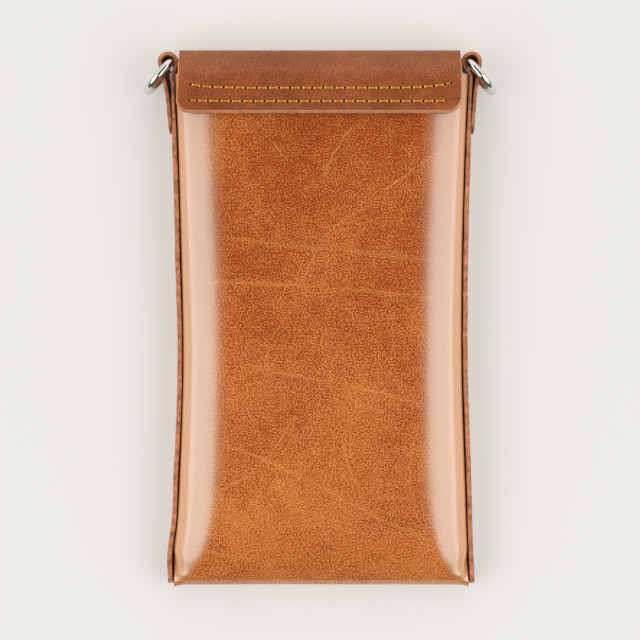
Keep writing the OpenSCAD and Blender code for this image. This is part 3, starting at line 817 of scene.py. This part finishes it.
def stitch_form():
    """One stitch of two-ply thread along X from 0 to 1, one thread thick, dipping into a hole at each end."""
    bm = bmesh.new()
    pull = bm.verts.layers.float.new("pull")
    bmesh.ops.create_cone(bm, cap_ends=True, segments=8, radius1=0.5, radius2=0.5, depth=1)
    sides = [e for e in bm.edges if abs(e.verts[0].co.z - e.verts[1].co.z) > 0.5]
    bmesh.ops.subdivide_edges(bm, edges=sides, cuts=9, use_grid_fill=True)
    for v in bm.verts:
        t = v.co.z + 0.5
        nearest = min(t, 1 - t)
        around = math.atan2(v.co.y, v.co.x)
        r = math.hypot(v.co.x, v.co.y) * (1 + PLY * math.cos(2 * (around - PLY_TURN * t)))
        r *= mix(END_THICK, MIDDLE_THICK, smooth(nearest * 4))
        height = mix(END_HEIGHT, MIDDLE_HEIGHT, smooth(nearest * 9))
        v.co = Vector((t, r * math.cos(around), r * math.sin(around) + height))
        # pull marks each stitch's ends, where the thread's painted highlight goes
        v[pull] = 1 - smooth((nearest - 0.06) * 7)
    mesh = bpy.data.meshes.new("stitch_form")
    bm.to_mesh(mesh)
    bm.free()
    return mesh


def sew(bm, form, a, b, out, thread):
    """Adds a stitch from hole a to hole b on a face that looks towards out."""
    start = len(bm.verts)
    bm.from_mesh(form)
    bm.verts.ensure_lookup_table()
    fresh = bm.verts[start:]
    along = b - a
    x = along.normalized()
    z = (out - x * out.dot(x)).normalized()
    y = z.cross(x)
    turn = Matrix((along, y * thread, z * thread)).transposed().to_4x4()
    bmesh.ops.transform(bm, matrix=Matrix.Translation(a) @ turn, verts=fresh)


# Half the width, length and depth of an awl hole, and how far its middle lies under the leather's face
HOLE_HALVES, HOLE_SUNK = (0.42 * MM, 0.56 * MM, 0.15 * MM), 0.17 * MM
# Degrees by which the holes lean, and by which that varies
HOLE_LEAN, LEAN_SPREAD = -24, 8
# How far a stitch slips to the side in its holes
THREAD_SLIP = 0.05 * MM


class POUCH_OT_flap_thread(bpy.types.Operator):
    """Sew the two rows of thread across the flap, with the awl holes between the stitches"""

    bl_idname = "pouch.flap_thread"
    bl_label = "Flap thread"

    def execute(self, context):
        p = context.scene.pouch_sizes
        form = stitch_form()
        top = 2 * FOLD_R
        under = top - p.leather - p.facing
        for name, node, holes in zip(("upper", "lower"), ("upper_stitches", "lower_stitches"), flap_rows()):
            bm = bmesh.new()
            bm.verts.layers.float.new("pull")
            for (xa, ya), (xb, yb) in zip(holes, holes[1:]):
                bare = HOLE_HALVES[0] / (xb - xa)
                for z, out in ((top, 1), (under, -1)):
                    a, b = Vector((xa, ya, z)), Vector((xb, yb, z))
                    slip = Vector((0, THREAD_SLIP * wander(xa, ya, 2.0, 2 * MM), 0))
                    start, stop = a.lerp(b, bare) + slip, a.lerp(b, 1 - bare) - slip
                    sew(bm, form, start, stop, Vector((0, 0, out)), p.thread)
            rows = finished(f"{name}_row_thread", bm, ["Waxed_thread"])
            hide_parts(node)
            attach(rows, "flap")
        # Each awl hole is a near-black ellipsoid sunk into the flap's face: painted shade of the hole's depth
        bm = bmesh.new()
        for holes in flap_rows():
            for x, y in holes:
                turn = HOLE_LEAN + LEAN_SPREAD * wander(x, y, 4.0, 2 * MM)
                lean = Matrix.Rotation(math.radians(turn), 4, "Z")
                size = Matrix.Diagonal((*HOLE_HALVES, 1))
                bmesh.ops.create_uvsphere(
                    bm, u_segments=12, v_segments=6, radius=1,
                    matrix=Matrix.Translation((x, y, top - HOLE_SUNK)) @ lean @ size)
        hole_shades = finished("awl_hole_shades", bm, ["Awl_hole_shade"])
        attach(hole_shades, "flap")
        bpy.data.meshes.remove(form)
        return {"FINISHED"}


# Distance of a magnet's middle from the pouch's middle, and the reach and height of the swell that it makes
MAGNET_OFF, MAGNET_REACH, MAGNET_SWELL = 22 * MM, 10.5 * MM, 0.1 * MM
# Each facing's piece, node, magnets, body, corner radius, columns and rows
FACINGS = (
    ("flap_facing_leather", "flap_facing", "flap_magnets", "flap", 3.9 * MM, 96, 12),
    ("mouth_facing_leather", "mouth_facing", "mouth_magnets", "pouch", 2.0 * MM, 62, 17),
)


class POUCH_OT_facings(bpy.types.Operator):
    """Make the leather facings under the flap and behind the mouth"""

    bl_idname = "pouch.facings"
    bl_label = "Facings"

    def execute(self, context):
        for name, node, magnets, body, corner, columns, rows in FACINGS:
            lo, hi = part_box(node)
            middle = (lo.x + hi.x) / 2
            magnet_lo, magnet_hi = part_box(magnets)

            def surface(column, row):
                y = mix(lo.y, hi.y, 1 - math.cos(math.radians(90 * row / rows)))
                gap = max(0.0, corner - (y - lo.y))
                half = (hi.x - lo.x) / 2 - corner + math.sqrt(max(0.0, corner ** 2 - gap ** 2))
                x = middle + (2 * column / columns - 1) * half
                # The leather shows the magnets' bars as two low swells
                over = abs(abs(x) - MAGNET_OFF) < MAGNET_REACH and magnet_lo.y < y < magnet_hi.y
                bulge = MAGNET_SWELL if over else 0.0
                wave = 0.04 * MM * wander(x, y, 6.0, 9 * MM)
                return Vector((x, y, lo.z - bulge + wave)), Vector((x, y, hi.z)), (x, y), 0.0

            facing = leather_sheet(
                name, columns, rows, surface, FACING_ROUND,
                ["Leather_flesh_side", "Leather_flesh_side", "Cut_flap_edge"])
            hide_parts(node)
            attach(facing, body)
        return {"FINISHED"}


# Gussets, straps and rings

# Rows of a gusset up the side, at the neck, round the loop and down the tail, and those down to its knee
SIDE_ROWS, NECK_ROWS, LOOP_ROWS, TAIL_ROWS, KNEE_ROWS = 96, 5, 33, 30, 12
LOOP_START = SIDE_ROWS + NECK_ROWS
TAIL_START = LOOP_START + LOOP_ROWS
GUSSET_COLUMNS = 10
# How far the gussets' raw edges stand out beyond the panels
EDGE_STAND = 0.8 * MM
# Where the gusset begins to be skived, over which length, and how much thinner than the loop it gets
SKIVE_Y, SKIVE_LENGTH, SKIVED = 62 * MM, 12 * MM, 0.1 * MM
# How far above the bottom crease the gusset begins, and the length over which it narrows to its strap
GUSSET_UP, NECK_LENGTH = 0.7 * MM, 4 * MM
# Gap of the slot behind the left and right tail at the knee, and how far the tail's tip stands off the gusset
SLOTS, TIP_STAND = {-1: 1.0 * MM, 1: 0.7 * MM}, 1.0 * MM
# Thickness of the tail's tip, and the length over which it thins and rounds
TIP_THICK, TIP_ROUND = 0.9 * MM, 4 * MM
# How the gusset's raw front edge wanders everywhere and at its free foot, and how ragged both raw edges are
EDGE_WAVE, FOOT_WAVE, RAGGED = 0.18 * MM, 0.35 * MM, 0.12 * MM
# Place along the pouch below which the foot gets free, and how far it leans in against the back's rolled side
FREE_Y, LEAN = -40 * MM, 0.4 * MM
# How far the strap is pressed out round the bar, and how much that changes from the bar's side to the other
PRESSED, PRESS_CHANGE = 0.85 * MM, 0.8 * MM
# Share by which the tail leans in below the loop, and its rows over which that begins, holds and ends
TAIL_LEAN, LEAN_START, LEAN_HELD, LEAN_END = 0.3, 3, 4, 16


def gusset_inside(p, y):
    return half_width(p, y) + p.seam_gap


def gusset_front(p, y):
    """Height of the gusset's raw front edge above the back."""
    front = mix(p.foot_height, FRONT_H, rise(p, y))
    return front - fall_at(p, y, rise(p, y)) + EDGE_STAND * rise(p, y)


def gusset_back(p, y):
    return p.back_roll - EDGE_STAND * rise(p, y)


def strap_thick(p, y):
    """Thickness of the gusset, which is skived thinner towards its strap."""
    return mix(p.gusset, p.loop_leather - SKIVED, smooth((y - SKIVE_Y) / SKIVE_LENGTH))


def loop_place(p, side):
    """Middle of the loop on side 1 or -1, drawn on the right; both are shifted with the flap."""
    return Vector((p.mouth_width / 2 + p.loop_side - side * p.flap_shift, TOP - p.loop_down))


def bar_place(p, side):
    """Middle of the ring's bar, which leans inwards and down in its loop."""
    reach = p.loop_radius - p.wire / 2 - p.bar_play
    return loop_place(p, side) - reach * Vector((math.cos(p.bar_lean), math.sin(p.bar_lean)))


def strap_path(p, side):
    """Plan of a gusset's inner face, drawn on the right: up the side, over the bar and down as the tail.

    Each point is (place, thickness, low edge, high edge).
    """
    loop, r = loop_place(p, side), p.loop_radius + p.loop_leather
    low, neck, tail = foot(p) + GUSSET_UP, MOUTH - p.seam_gap, TOP - p.tail_down
    half = p.strap_width / 2
    edges = [p.strap_height - half, p.strap_height + half]
    made = []
    for i in range(SIDE_ROWS):
        y = mix(low, neck, i / SIDE_ROWS)
        t = share((y - neck + NECK_LENGTH) / NECK_LENGTH)
        made.append([
            Vector((gusset_inside(p, y) + sway(y, side), y)), strap_thick(p, y),
            mix(gusset_back(p, y), edges[0], t), mix(gusset_front(p, y), edges[1], t)])

    def touch(point, turn):
        """Angle at which a straight line from a point touches the loop."""
        d = point - loop
        return math.atan2(d.y, d.x) + turn * math.acos(r / d.length)

    def round_loop(a):
        return loop + r * Vector((math.cos(a), math.sin(a)))

    edge = Vector((gusset_inside(p, neck), neck))
    start = touch(edge, -1)
    start = start if start > 0 else start + 2 * math.pi
    # The tail stands off the gusset by a dark slot that closes at its tip
    tip = Vector((gusset_inside(p, tail) + strap_thick(p, tail) + TIP_STAND, tail))
    high = tail + p.tail_lies
    knee = Vector((gusset_inside(p, high) + strap_thick(p, high) + p.loop_leather + SLOTS[side], high))
    stop = touch(knee, 1)
    for i in range(NECK_ROWS):
        t = i / NECK_ROWS
        made.append([edge.lerp(round_loop(start), t), mix(strap_thick(p, neck), p.loop_leather, t), *edges])
    for i in range(LOOP_ROWS):
        made.append([round_loop(mix(start, stop, i / (LOOP_ROWS - 1))), p.loop_leather, *edges])
    leave = made[-1][0]
    for i in range(1, TAIL_ROWS + 1):
        if i <= KNEE_ROWS:
            place = leave.lerp(knee, i / KNEE_ROWS)
        else:
            place = knee.lerp(tip, (i - KNEE_ROWS) / (TAIL_ROWS - KNEE_ROWS))
        left = place.y - tail
        thick = mix(TIP_THICK, p.loop_leather, share(left / TIP_ROUND))
        cut = max(0.0, TIP_ROUND - left)
        rounded = half - TIP_ROUND + math.sqrt(max(0.0, TIP_ROUND ** 2 - cut ** 2))
        made.append([place, thick, p.strap_height - rounded, p.strap_height + rounded])
    for _ in range(3):
        for i in range(SIDE_ROWS + 1, len(made) - 1):
            made[i][0] = made[i][0] * 0.5 + (made[i - 1][0] + made[i + 1][0]) * 0.25
    return made


class POUCH_OT_gussets(bpy.types.Operator):
    """Make the two gussets, each one strip with its strap, loop and tail"""

    bl_idname = "pouch.gussets"
    bl_label = "Gussets and straps"

    def execute(self, context):
        p = context.scene.pouch_sizes
        for name, node, sign, seed in (("left", "left_gusset", -1, 21.0), ("right", "right_gusset", 1, 33.0)):
            path = strap_path(p, sign)
            run = [0.0]
            for a, b in zip(path, path[1:]):
                run.append(run[-1] + (b[0] - a[0]).length)

            middle, bar = loop_place(p, sign), bar_place(p, sign)
            hinge = middle - Vector((p.loop_radius + p.loop_leather, 0))

            def surface(column, row):
                place, thick, lo, hi = path[row]
                ahead = path[min(row + 1, len(path) - 1)][0] - path[max(row - 1, 0)][0]
                ahead.normalize()
                across = Vector((ahead.y, -ahead.x))
                t = column / GUSSET_COLUMNS
                # The raw edges wander, most at the foot, where nothing holds them
                wave = EDGE_WAVE * wander(run[row], seed, 1.0, 9 * MM)
                if row < SIDE_ROWS:
                    free = smooth((FREE_Y - place.y) / -FREE_Y)
                    wave += FOOT_WAVE * free * wander(run[row], seed, 2.0, 16 * MM)
                    wave *= share(row / 3)
                else:
                    wave *= 0.5 if row < TAIL_START else 0.0
                ragged = RAGGED * wander(run[row], seed, 3.0, 2.2 * MM)
                z = mix(lo, hi, t) + ragged * (1 if t > 0.5 else -1) * abs(2 * t - 1) ** 3
                # Its low edge lies against the back's rolled side
                lean = LEAN * (1 - t) ** 2 * share(row / 4) * share((SIDE_ROWS - row) / 12)
                inner = place + across * (wave * t - lean)
                outer = inner + across * thick
                if LOOP_START <= row <= TAIL_START:
                    # The strap is pressed thicker round the bar towards its low edge
                    towards = (place - middle).normalized().dot((bar - middle).normalized())
                    outer = outer + across * (PRESSED - PRESS_CHANGE * towards) * (1 - t)
                down = row - TAIL_START + 1
                if down > 0:
                    # The tail leans in towards its low edge, so that its slot is dark
                    pull = TAIL_LEAN * share(down / LEAN_START) * (1 - share((down - LEAN_HELD) / LEAN_END))
                    pull *= 1 - t
                    inner, outer = inner.lerp(hinge, pull), outer.lerp(hinge, pull)
                return (
                    Vector((sign * outer.x, outer.y, z)),
                    Vector((sign * inner.x, inner.y, z)),
                    (z + 1.0 + seed * 0.01, run[row]),
                    0.0,
                )

            gusset = leather_sheet(
                f"{name}_gusset_strip", GUSSET_COLUMNS, len(path) - 1, surface, GUSSET_ROUND,
                ["Gusset_leather", "Gusset_leather", "Rubbed_gusset_edge"])
            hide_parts(node)
            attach(gusset, "pouch")
        return {"FINISHED"}


# Pitch of the side seams, their first hole and the place that they end before
SEAM_PITCH, SEAM_START, SEAM_STOP = 3.9 * MM, -85 * MM, 62.5 * MM
# Distance of the seam's rows from the gusset's front and back edges, and how deep they lie in its outer face
SEAM_FRONT, SEAM_BACK, SEAM_SUNK = 3.2 * MM, 2.6 * MM, 0.4 * MM
# Length at each end of a stitch that its hole takes, and how deep the thread across the gap is sunk
SEAM_BARE, CROSSING_SUNK = 0.3 * MM, 0.1 * MM
# Pitch and first hole of the row that closes a loop, its height above the tail's tip, and how far out it lies
LOOP_PITCH, LOOP_FIRST, LOOP_UP, LOOP_STAND = 2.6 * MM, -3.9 * MM, 4.6 * MM, 0.6 * MM


class POUCH_OT_seam_thread(bpy.types.Operator):
    """Sew the side seams and the rows that close the two loops"""

    bl_idname = "pouch.seam_thread"
    bl_label = "Seam thread"

    def execute(self, context):
        p = context.scene.pouch_sizes
        form = stitch_form()
        count = int((SEAM_STOP - SEAM_START) / SEAM_PITCH)
        for name, sign in (("left", -1), ("right", 1)):
            bm = bmesh.new()
            bm.verts.layers.float.new("pull")
            outwards = Vector((sign, 0, 0))
            crossings = []
            for edge, off in ((gusset_front, -SEAM_FRONT), (gusset_back, SEAM_BACK)):
                holes = []
                for i in range(count + 1):
                    y = SEAM_START + SEAM_PITCH * i
                    x = gusset_inside(p, y) + sway(y, sign) + p.gusset - SEAM_SUNK
                    holes.append(Vector((sign * x, y, edge(p, y) + off)))
                bare = SEAM_BARE / SEAM_PITCH
                for a, b in zip(holes, holes[1:]):
                    sew(bm, form, a.lerp(b, bare), a.lerp(b, 1 - bare), outwards, p.thread)
                crossings += holes
            tail = TOP - p.tail_down + LOOP_UP
            face = gusset_inside(p, tail) + p.gusset + LOOP_STAND
            for i in range(3):
                a = Vector((sign * face, tail, p.strap_height + LOOP_FIRST + LOOP_PITCH * i))
                b = a + Vector((0, 0, LOOP_PITCH))
                sew(bm, form, a.lerp(b, 0.1), a.lerp(b, 0.9), outwards, p.thread)
            for h in crossings:
                # Where a stitch crosses the dark gap between the gusset and the turned edge
                inside = Vector((sign * (gusset_inside(p, h.y) + CROSSING_SUNK), h.y, h.z))
                turned = Vector((sign * (half_width(p, h.y) - CROSSING_SUNK), h.y, h.z))
                bmesh.ops.create_cone(
                    bm, cap_ends=True, segments=7, radius1=0.3 * p.thread, radius2=0.3 * p.thread,
                    depth=(inside - turned).length,
                    matrix=Matrix.Translation((inside + turned) / 2) @ Matrix.Rotation(math.pi / 2, 4, "Y"))
            seam = finished(f"{name}_seam_thread", bm, ["Waxed_thread"])
            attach(seam, "pouch")
        bpy.data.meshes.remove(form)
        return {"FINISHED"}


# Play between the ring's arms and the strap, half the gap of its butt joint, and the rounding of its ends
BAR_SPARE, BUTT, END_ROUND = 0.2 * MM, 0.05 * MM, 0.12 * MM
# Steps of the wire along a straight length, round a corner and round the bow
STRAIGHT_STEPS, CORNER_STEPS, BOW_STEPS = 3, 8, 30


class POUCH_OT_rings(bpy.types.Operator):
    """Bend the two D-rings from chromed wire, with the butt joint in the middle of the bar"""

    bl_idname = "pouch.rings"
    bl_label = "Rings"

    def execute(self, context):
        p = context.scene.pouch_sizes
        half = p.strap_width / 2 + BAR_SPARE + p.wire / 2
        arm = p.ring_height - p.wire - half
        corner = p.ring_corner
        for name, node, sign in (("left_d_ring", "left_ring", -1), ("right_d_ring", "right_ring", 1)):
            bar = bar_place(p, sign)
            bm = bmesh.new()
            made = bmesh.ops.create_circle(bm, segments=20, radius=p.wire / 2)
            front = made["verts"] + bm.edges[:]
            bmesh.ops.translate(bm, verts=made["verts"], vec=(0, 0, BUTT))

            def run_on(front, move):
                """Draws the wire's end on in a straight line."""
                for _ in range(STRAIGHT_STEPS):
                    edges = [e for e in front if isinstance(e, bmesh.types.BMEdge)]
                    front = bmesh.ops.extrude_edge_only(bm, edges=edges)["geom"]
                    verts = [v for v in front if isinstance(v, bmesh.types.BMVert)]
                    bmesh.ops.translate(bm, verts=verts, vec=Vector(move) / STRAIGHT_STEPS)
                    front = verts + [e for e in front if isinstance(e, bmesh.types.BMEdge)]
                return front

            def bend(front, centre, turn, steps):
                """Bends the wire's end round a centre in the ring's plane."""
                return bmesh.ops.spin(
                    bm, geom=front, cent=centre, axis=(0, 1, 0), angle=turn, steps=steps, dvec=(0, 0, 0),
                    use_duplicate=False, use_merge=False)["geom_last"]

            front = run_on(front, (0, 0, half - corner - BUTT))
            front = bend(front, (corner, 0, half - corner), math.pi / 2, CORNER_STEPS)
            front = run_on(front, (arm - corner, 0, 0))
            front = bend(front, (arm, 0, 0), math.pi, BOW_STEPS)
            front = run_on(front, (corner - arm, 0, 0))
            front = bend(front, (corner, 0, corner - half), math.pi / 2, CORNER_STEPS)
            run_on(front, (0, 0, half - corner - BUTT))
            ends = [e for e in bm.edges if e.is_boundary]
            bmesh.ops.holes_fill(bm, edges=ends, sides=0)
            bmesh.ops.remove_doubles(bm, verts=bm.verts[:], dist=0.01 * MM)
            caps = [e for f in bm.faces if len(f.verts) > 8 for e in f.edges]
            bmesh.ops.bevel(
                bm, geom=caps, offset=END_ROUND, offset_type="OFFSET", segments=2, affect="EDGES",
                profile=0.5, material=-1)
            place = Matrix.Translation((bar.x, bar.y, p.strap_height)) @ Matrix.Rotation(-p.ring_rest, 4, "Z")
            if sign < 0:
                place = Matrix.Diagonal((-1, 1, 1, 1)) @ place
            bmesh.ops.transform(bm, matrix=place, verts=bm.verts[:])
            bmesh.ops.recalc_face_normals(bm, faces=bm.faces[:])
            ring = finished(name, bm, ["Chromed_steel_wire"])
            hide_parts(node)
            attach(ring, node)
        return {"FINISHED"}


class POUCH_OT_magnets(bpy.types.Operator):
    """Give the frame's magnets their nickel plating"""

    bl_idname = "pouch.magnets"
    bl_label = "Magnets"

    def execute(self, context):
        for node in ("flap_magnets", "mouth_magnets"):
            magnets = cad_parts[node]
            magnets.data.materials.clear()
            magnets.data.materials.append(bpy.data.materials["Nickelled_magnet"])
        return {"FINISHED"}


# Stage

# Share of the paper's light that comes through it from below
GLOW = 0.46
# Half the width of the paper in metres, and how far it lies under the pouch
PAPER, PAPER_LOW = 2.5, 0.05 * MM
# Focal length and film width in mm, and the camera's place straight above the pouch
FOCAL_LENGTH, FILM_WIDTH = 136.6, 36
CAMERA_AT = (-0.56 * MM, -0.52 * MM, 861.5 * MM)
# Lamps: degrees from straight above, distance, place along the pouch, width, length, power and colour
LAMP_LEAN, LAMP_FAR, LAMP_Y, LAMP_WIDTH, LAMP_LENGTH, LAMP_POWER = 39, 2, -0.59, 1.82, 1.54, 22.5
LAMP_COLOUR = (0.965, 1.0, 1.02)


def soft_box(name, centre, aim):
    """A rectangular lamp at a place, turned to a point."""
    lamp = bpy.data.lights.new(name, "AREA")
    lamp.shape = "RECTANGLE"
    lamp.size, lamp.size_y = LAMP_WIDTH, LAMP_LENGTH
    lamp.energy = LAMP_POWER
    lamp.color = LAMP_COLOUR
    box = bpy.data.objects.new(name, lamp)
    box.location = centre
    box.rotation_euler = (Vector(aim) - Vector(centre)).to_track_quat("-Z", "Y").to_euler()
    bpy.context.scene.collection.objects.link(box)


def even_surround():
    """Even light that fades towards the dark ceiling behind the camera, with a pale wall beyond the flap."""
    world = bpy.data.worlds.new("Even_surround")
    world.use_nodes = True
    sky = world.node_tree
    sky.nodes.clear()
    way = put(sky, "SeparateXYZ", {0: put(sky, "TexCoord").outputs["Generated"]}).outputs
    wall = put(sky, "MapRange", {
        "Value": way["Y"], "From Min": -0.6, "From Max": 0.8, "To Min": -0.2, "To Max": 0.85})
    level = put(sky, "MapRange", {
        "Value": way["Z"], "From Min": 0.5, "From Max": 0.95, "To Min": 0.3, "To Max": -0.36})
    level = put(sky, "Math", {0: level, 1: wall}, operation="ADD")
    # Pale corners on both sides beyond the flap, which the rings mirror
    side = put(sky, "Math", {0: way["X"]}, operation="ABSOLUTE")
    side = put(sky, "Math", {0: side, 1: 1.15, 2: way["Y"]}, operation="MULTIPLY_ADD")
    corner = put(sky, "MapRange", {"Value": side, "From Min": 0.45, "From Max": 0.65, "To Max": 0.6})
    beyond = put(sky, "MapRange", {"Value": way["Y"], "From Min": 0.1, "From Max": 0.3})
    high = put(sky, "MapRange", {"Value": way["Z"], "From Min": 0.5, "From Max": 0.75})
    corner = put(sky, "Math", {0: corner, 1: beyond}, operation="MULTIPLY")
    level = put(sky, "Math", {0: corner, 1: high, 2: level}, operation="MULTIPLY_ADD")
    level = put(sky, "Math", {0: level, 1: 0.02}, operation="MAXIMUM")
    light = put(sky, "Background", {"Color": linear("#F6F4F0"), "Strength": level})
    put(sky, "OutputWorld", {"Surface": light})
    return world


def warm_white_paper(ground):
    """Matt paper with a fine tooth. A light table under it fills half of the shadows."""
    tree = begin("Warm_white_paper")
    place = put(tree, "TexCoord").outputs["Object"]
    tooth = put(tree, "TexNoise", {"Vector": place, "Scale": 900.0})
    tone = ramp(tree, tooth, [(0.3, [v * 0.995 for v in ground]), (0.7, ground)])
    soaked = put(tree, "MixRGB", {"Fac": GLOW, "Color1": tone, "Color2": (0, 0, 0, 1)})
    end(tree, put(tree, "BsdfPrincipled", {
        "Base Color": soaked, "Roughness": 0.9, "Specular IOR Level": 0.1,
        "Emission Color": tone, "Emission Strength": GLOW}))


class POUCH_OT_stage(bpy.types.Operator):
    """Set the camera, the paper, the two side lamps and the even surround"""

    bl_idname = "pouch.stage"
    bl_label = "Stage"

    def execute(self, context):
        scene = context.scene
        scene.view_settings.view_transform = "Standard"
        lens = bpy.data.cameras.new("Camera")
        lens.lens, lens.sensor_width = FOCAL_LENGTH, FILM_WIDTH
        camera = bpy.data.objects.new("Camera", lens)
        camera.location = CAMERA_AT
        scene.collection.objects.link(camera)
        scene.camera = camera

        warm_white_paper(scene.pouch_colours.floor)
        bm = bmesh.new()
        bmesh.ops.create_grid(
            bm, x_segments=2, y_segments=2, size=PAPER, matrix=Matrix.Translation((0, 0, -PAPER_LOW)))
        floor = finished("paper_floor", bm, ["Warm_white_paper"])

        a = math.radians(LAMP_LEAN)
        for name, sign in (("Left_soft_box", -1), ("Right_soft_box", 1)):
            centre = (sign * LAMP_FAR * math.sin(a), LAMP_Y, LAMP_FAR * math.cos(a))
            soft_box(name, centre, (0, LAMP_Y, 0))
        scene.world = even_surround()
        return {"FINISHED"}


STEPS = (
    "finishes", "main_strip", "flap", "flap_thread", "facings", "gussets", "seam_thread", "rings", "magnets",
    "stage",
)


class POUCH_PT_panel(bpy.types.Panel):
    """Lists the pouch's pieces in the sidebar"""

    bl_idname = "POUCH_PT_panel"
    bl_label = "Phone Pouch"
    bl_space_type = "VIEW_3D"
    bl_region_type = "UI"
    bl_category = "Phone Pouch"

    def draw(self, context):
        for step in STEPS:
            self.layout.operator("pouch." + step)


CLASSES = (
    PouchSizes, PouchColours, POUCH_OT_finishes, POUCH_OT_main_strip, POUCH_OT_flap, POUCH_OT_flap_thread,
    POUCH_OT_facings, POUCH_OT_gussets, POUCH_OT_seam_thread, POUCH_OT_rings, POUCH_OT_magnets,
    POUCH_OT_stage, POUCH_PT_panel,
)


def register():
    for cls in CLASSES:
        bpy.utils.register_class(cls)
    bpy.types.Scene.pouch_sizes = bpy.props.PointerProperty(type=PouchSizes)
    bpy.types.Scene.pouch_colours = bpy.props.PointerProperty(type=PouchColours)


def unregister():
    del bpy.types.Scene.pouch_colours
    del bpy.types.Scene.pouch_sizes
    for cls in reversed(CLASSES):
        bpy.utils.unregister_class(cls)


def main():
    register()
    for step in STEPS:
        getattr(bpy.ops.pouch, step)()


if __name__ == "__main__":
    main()
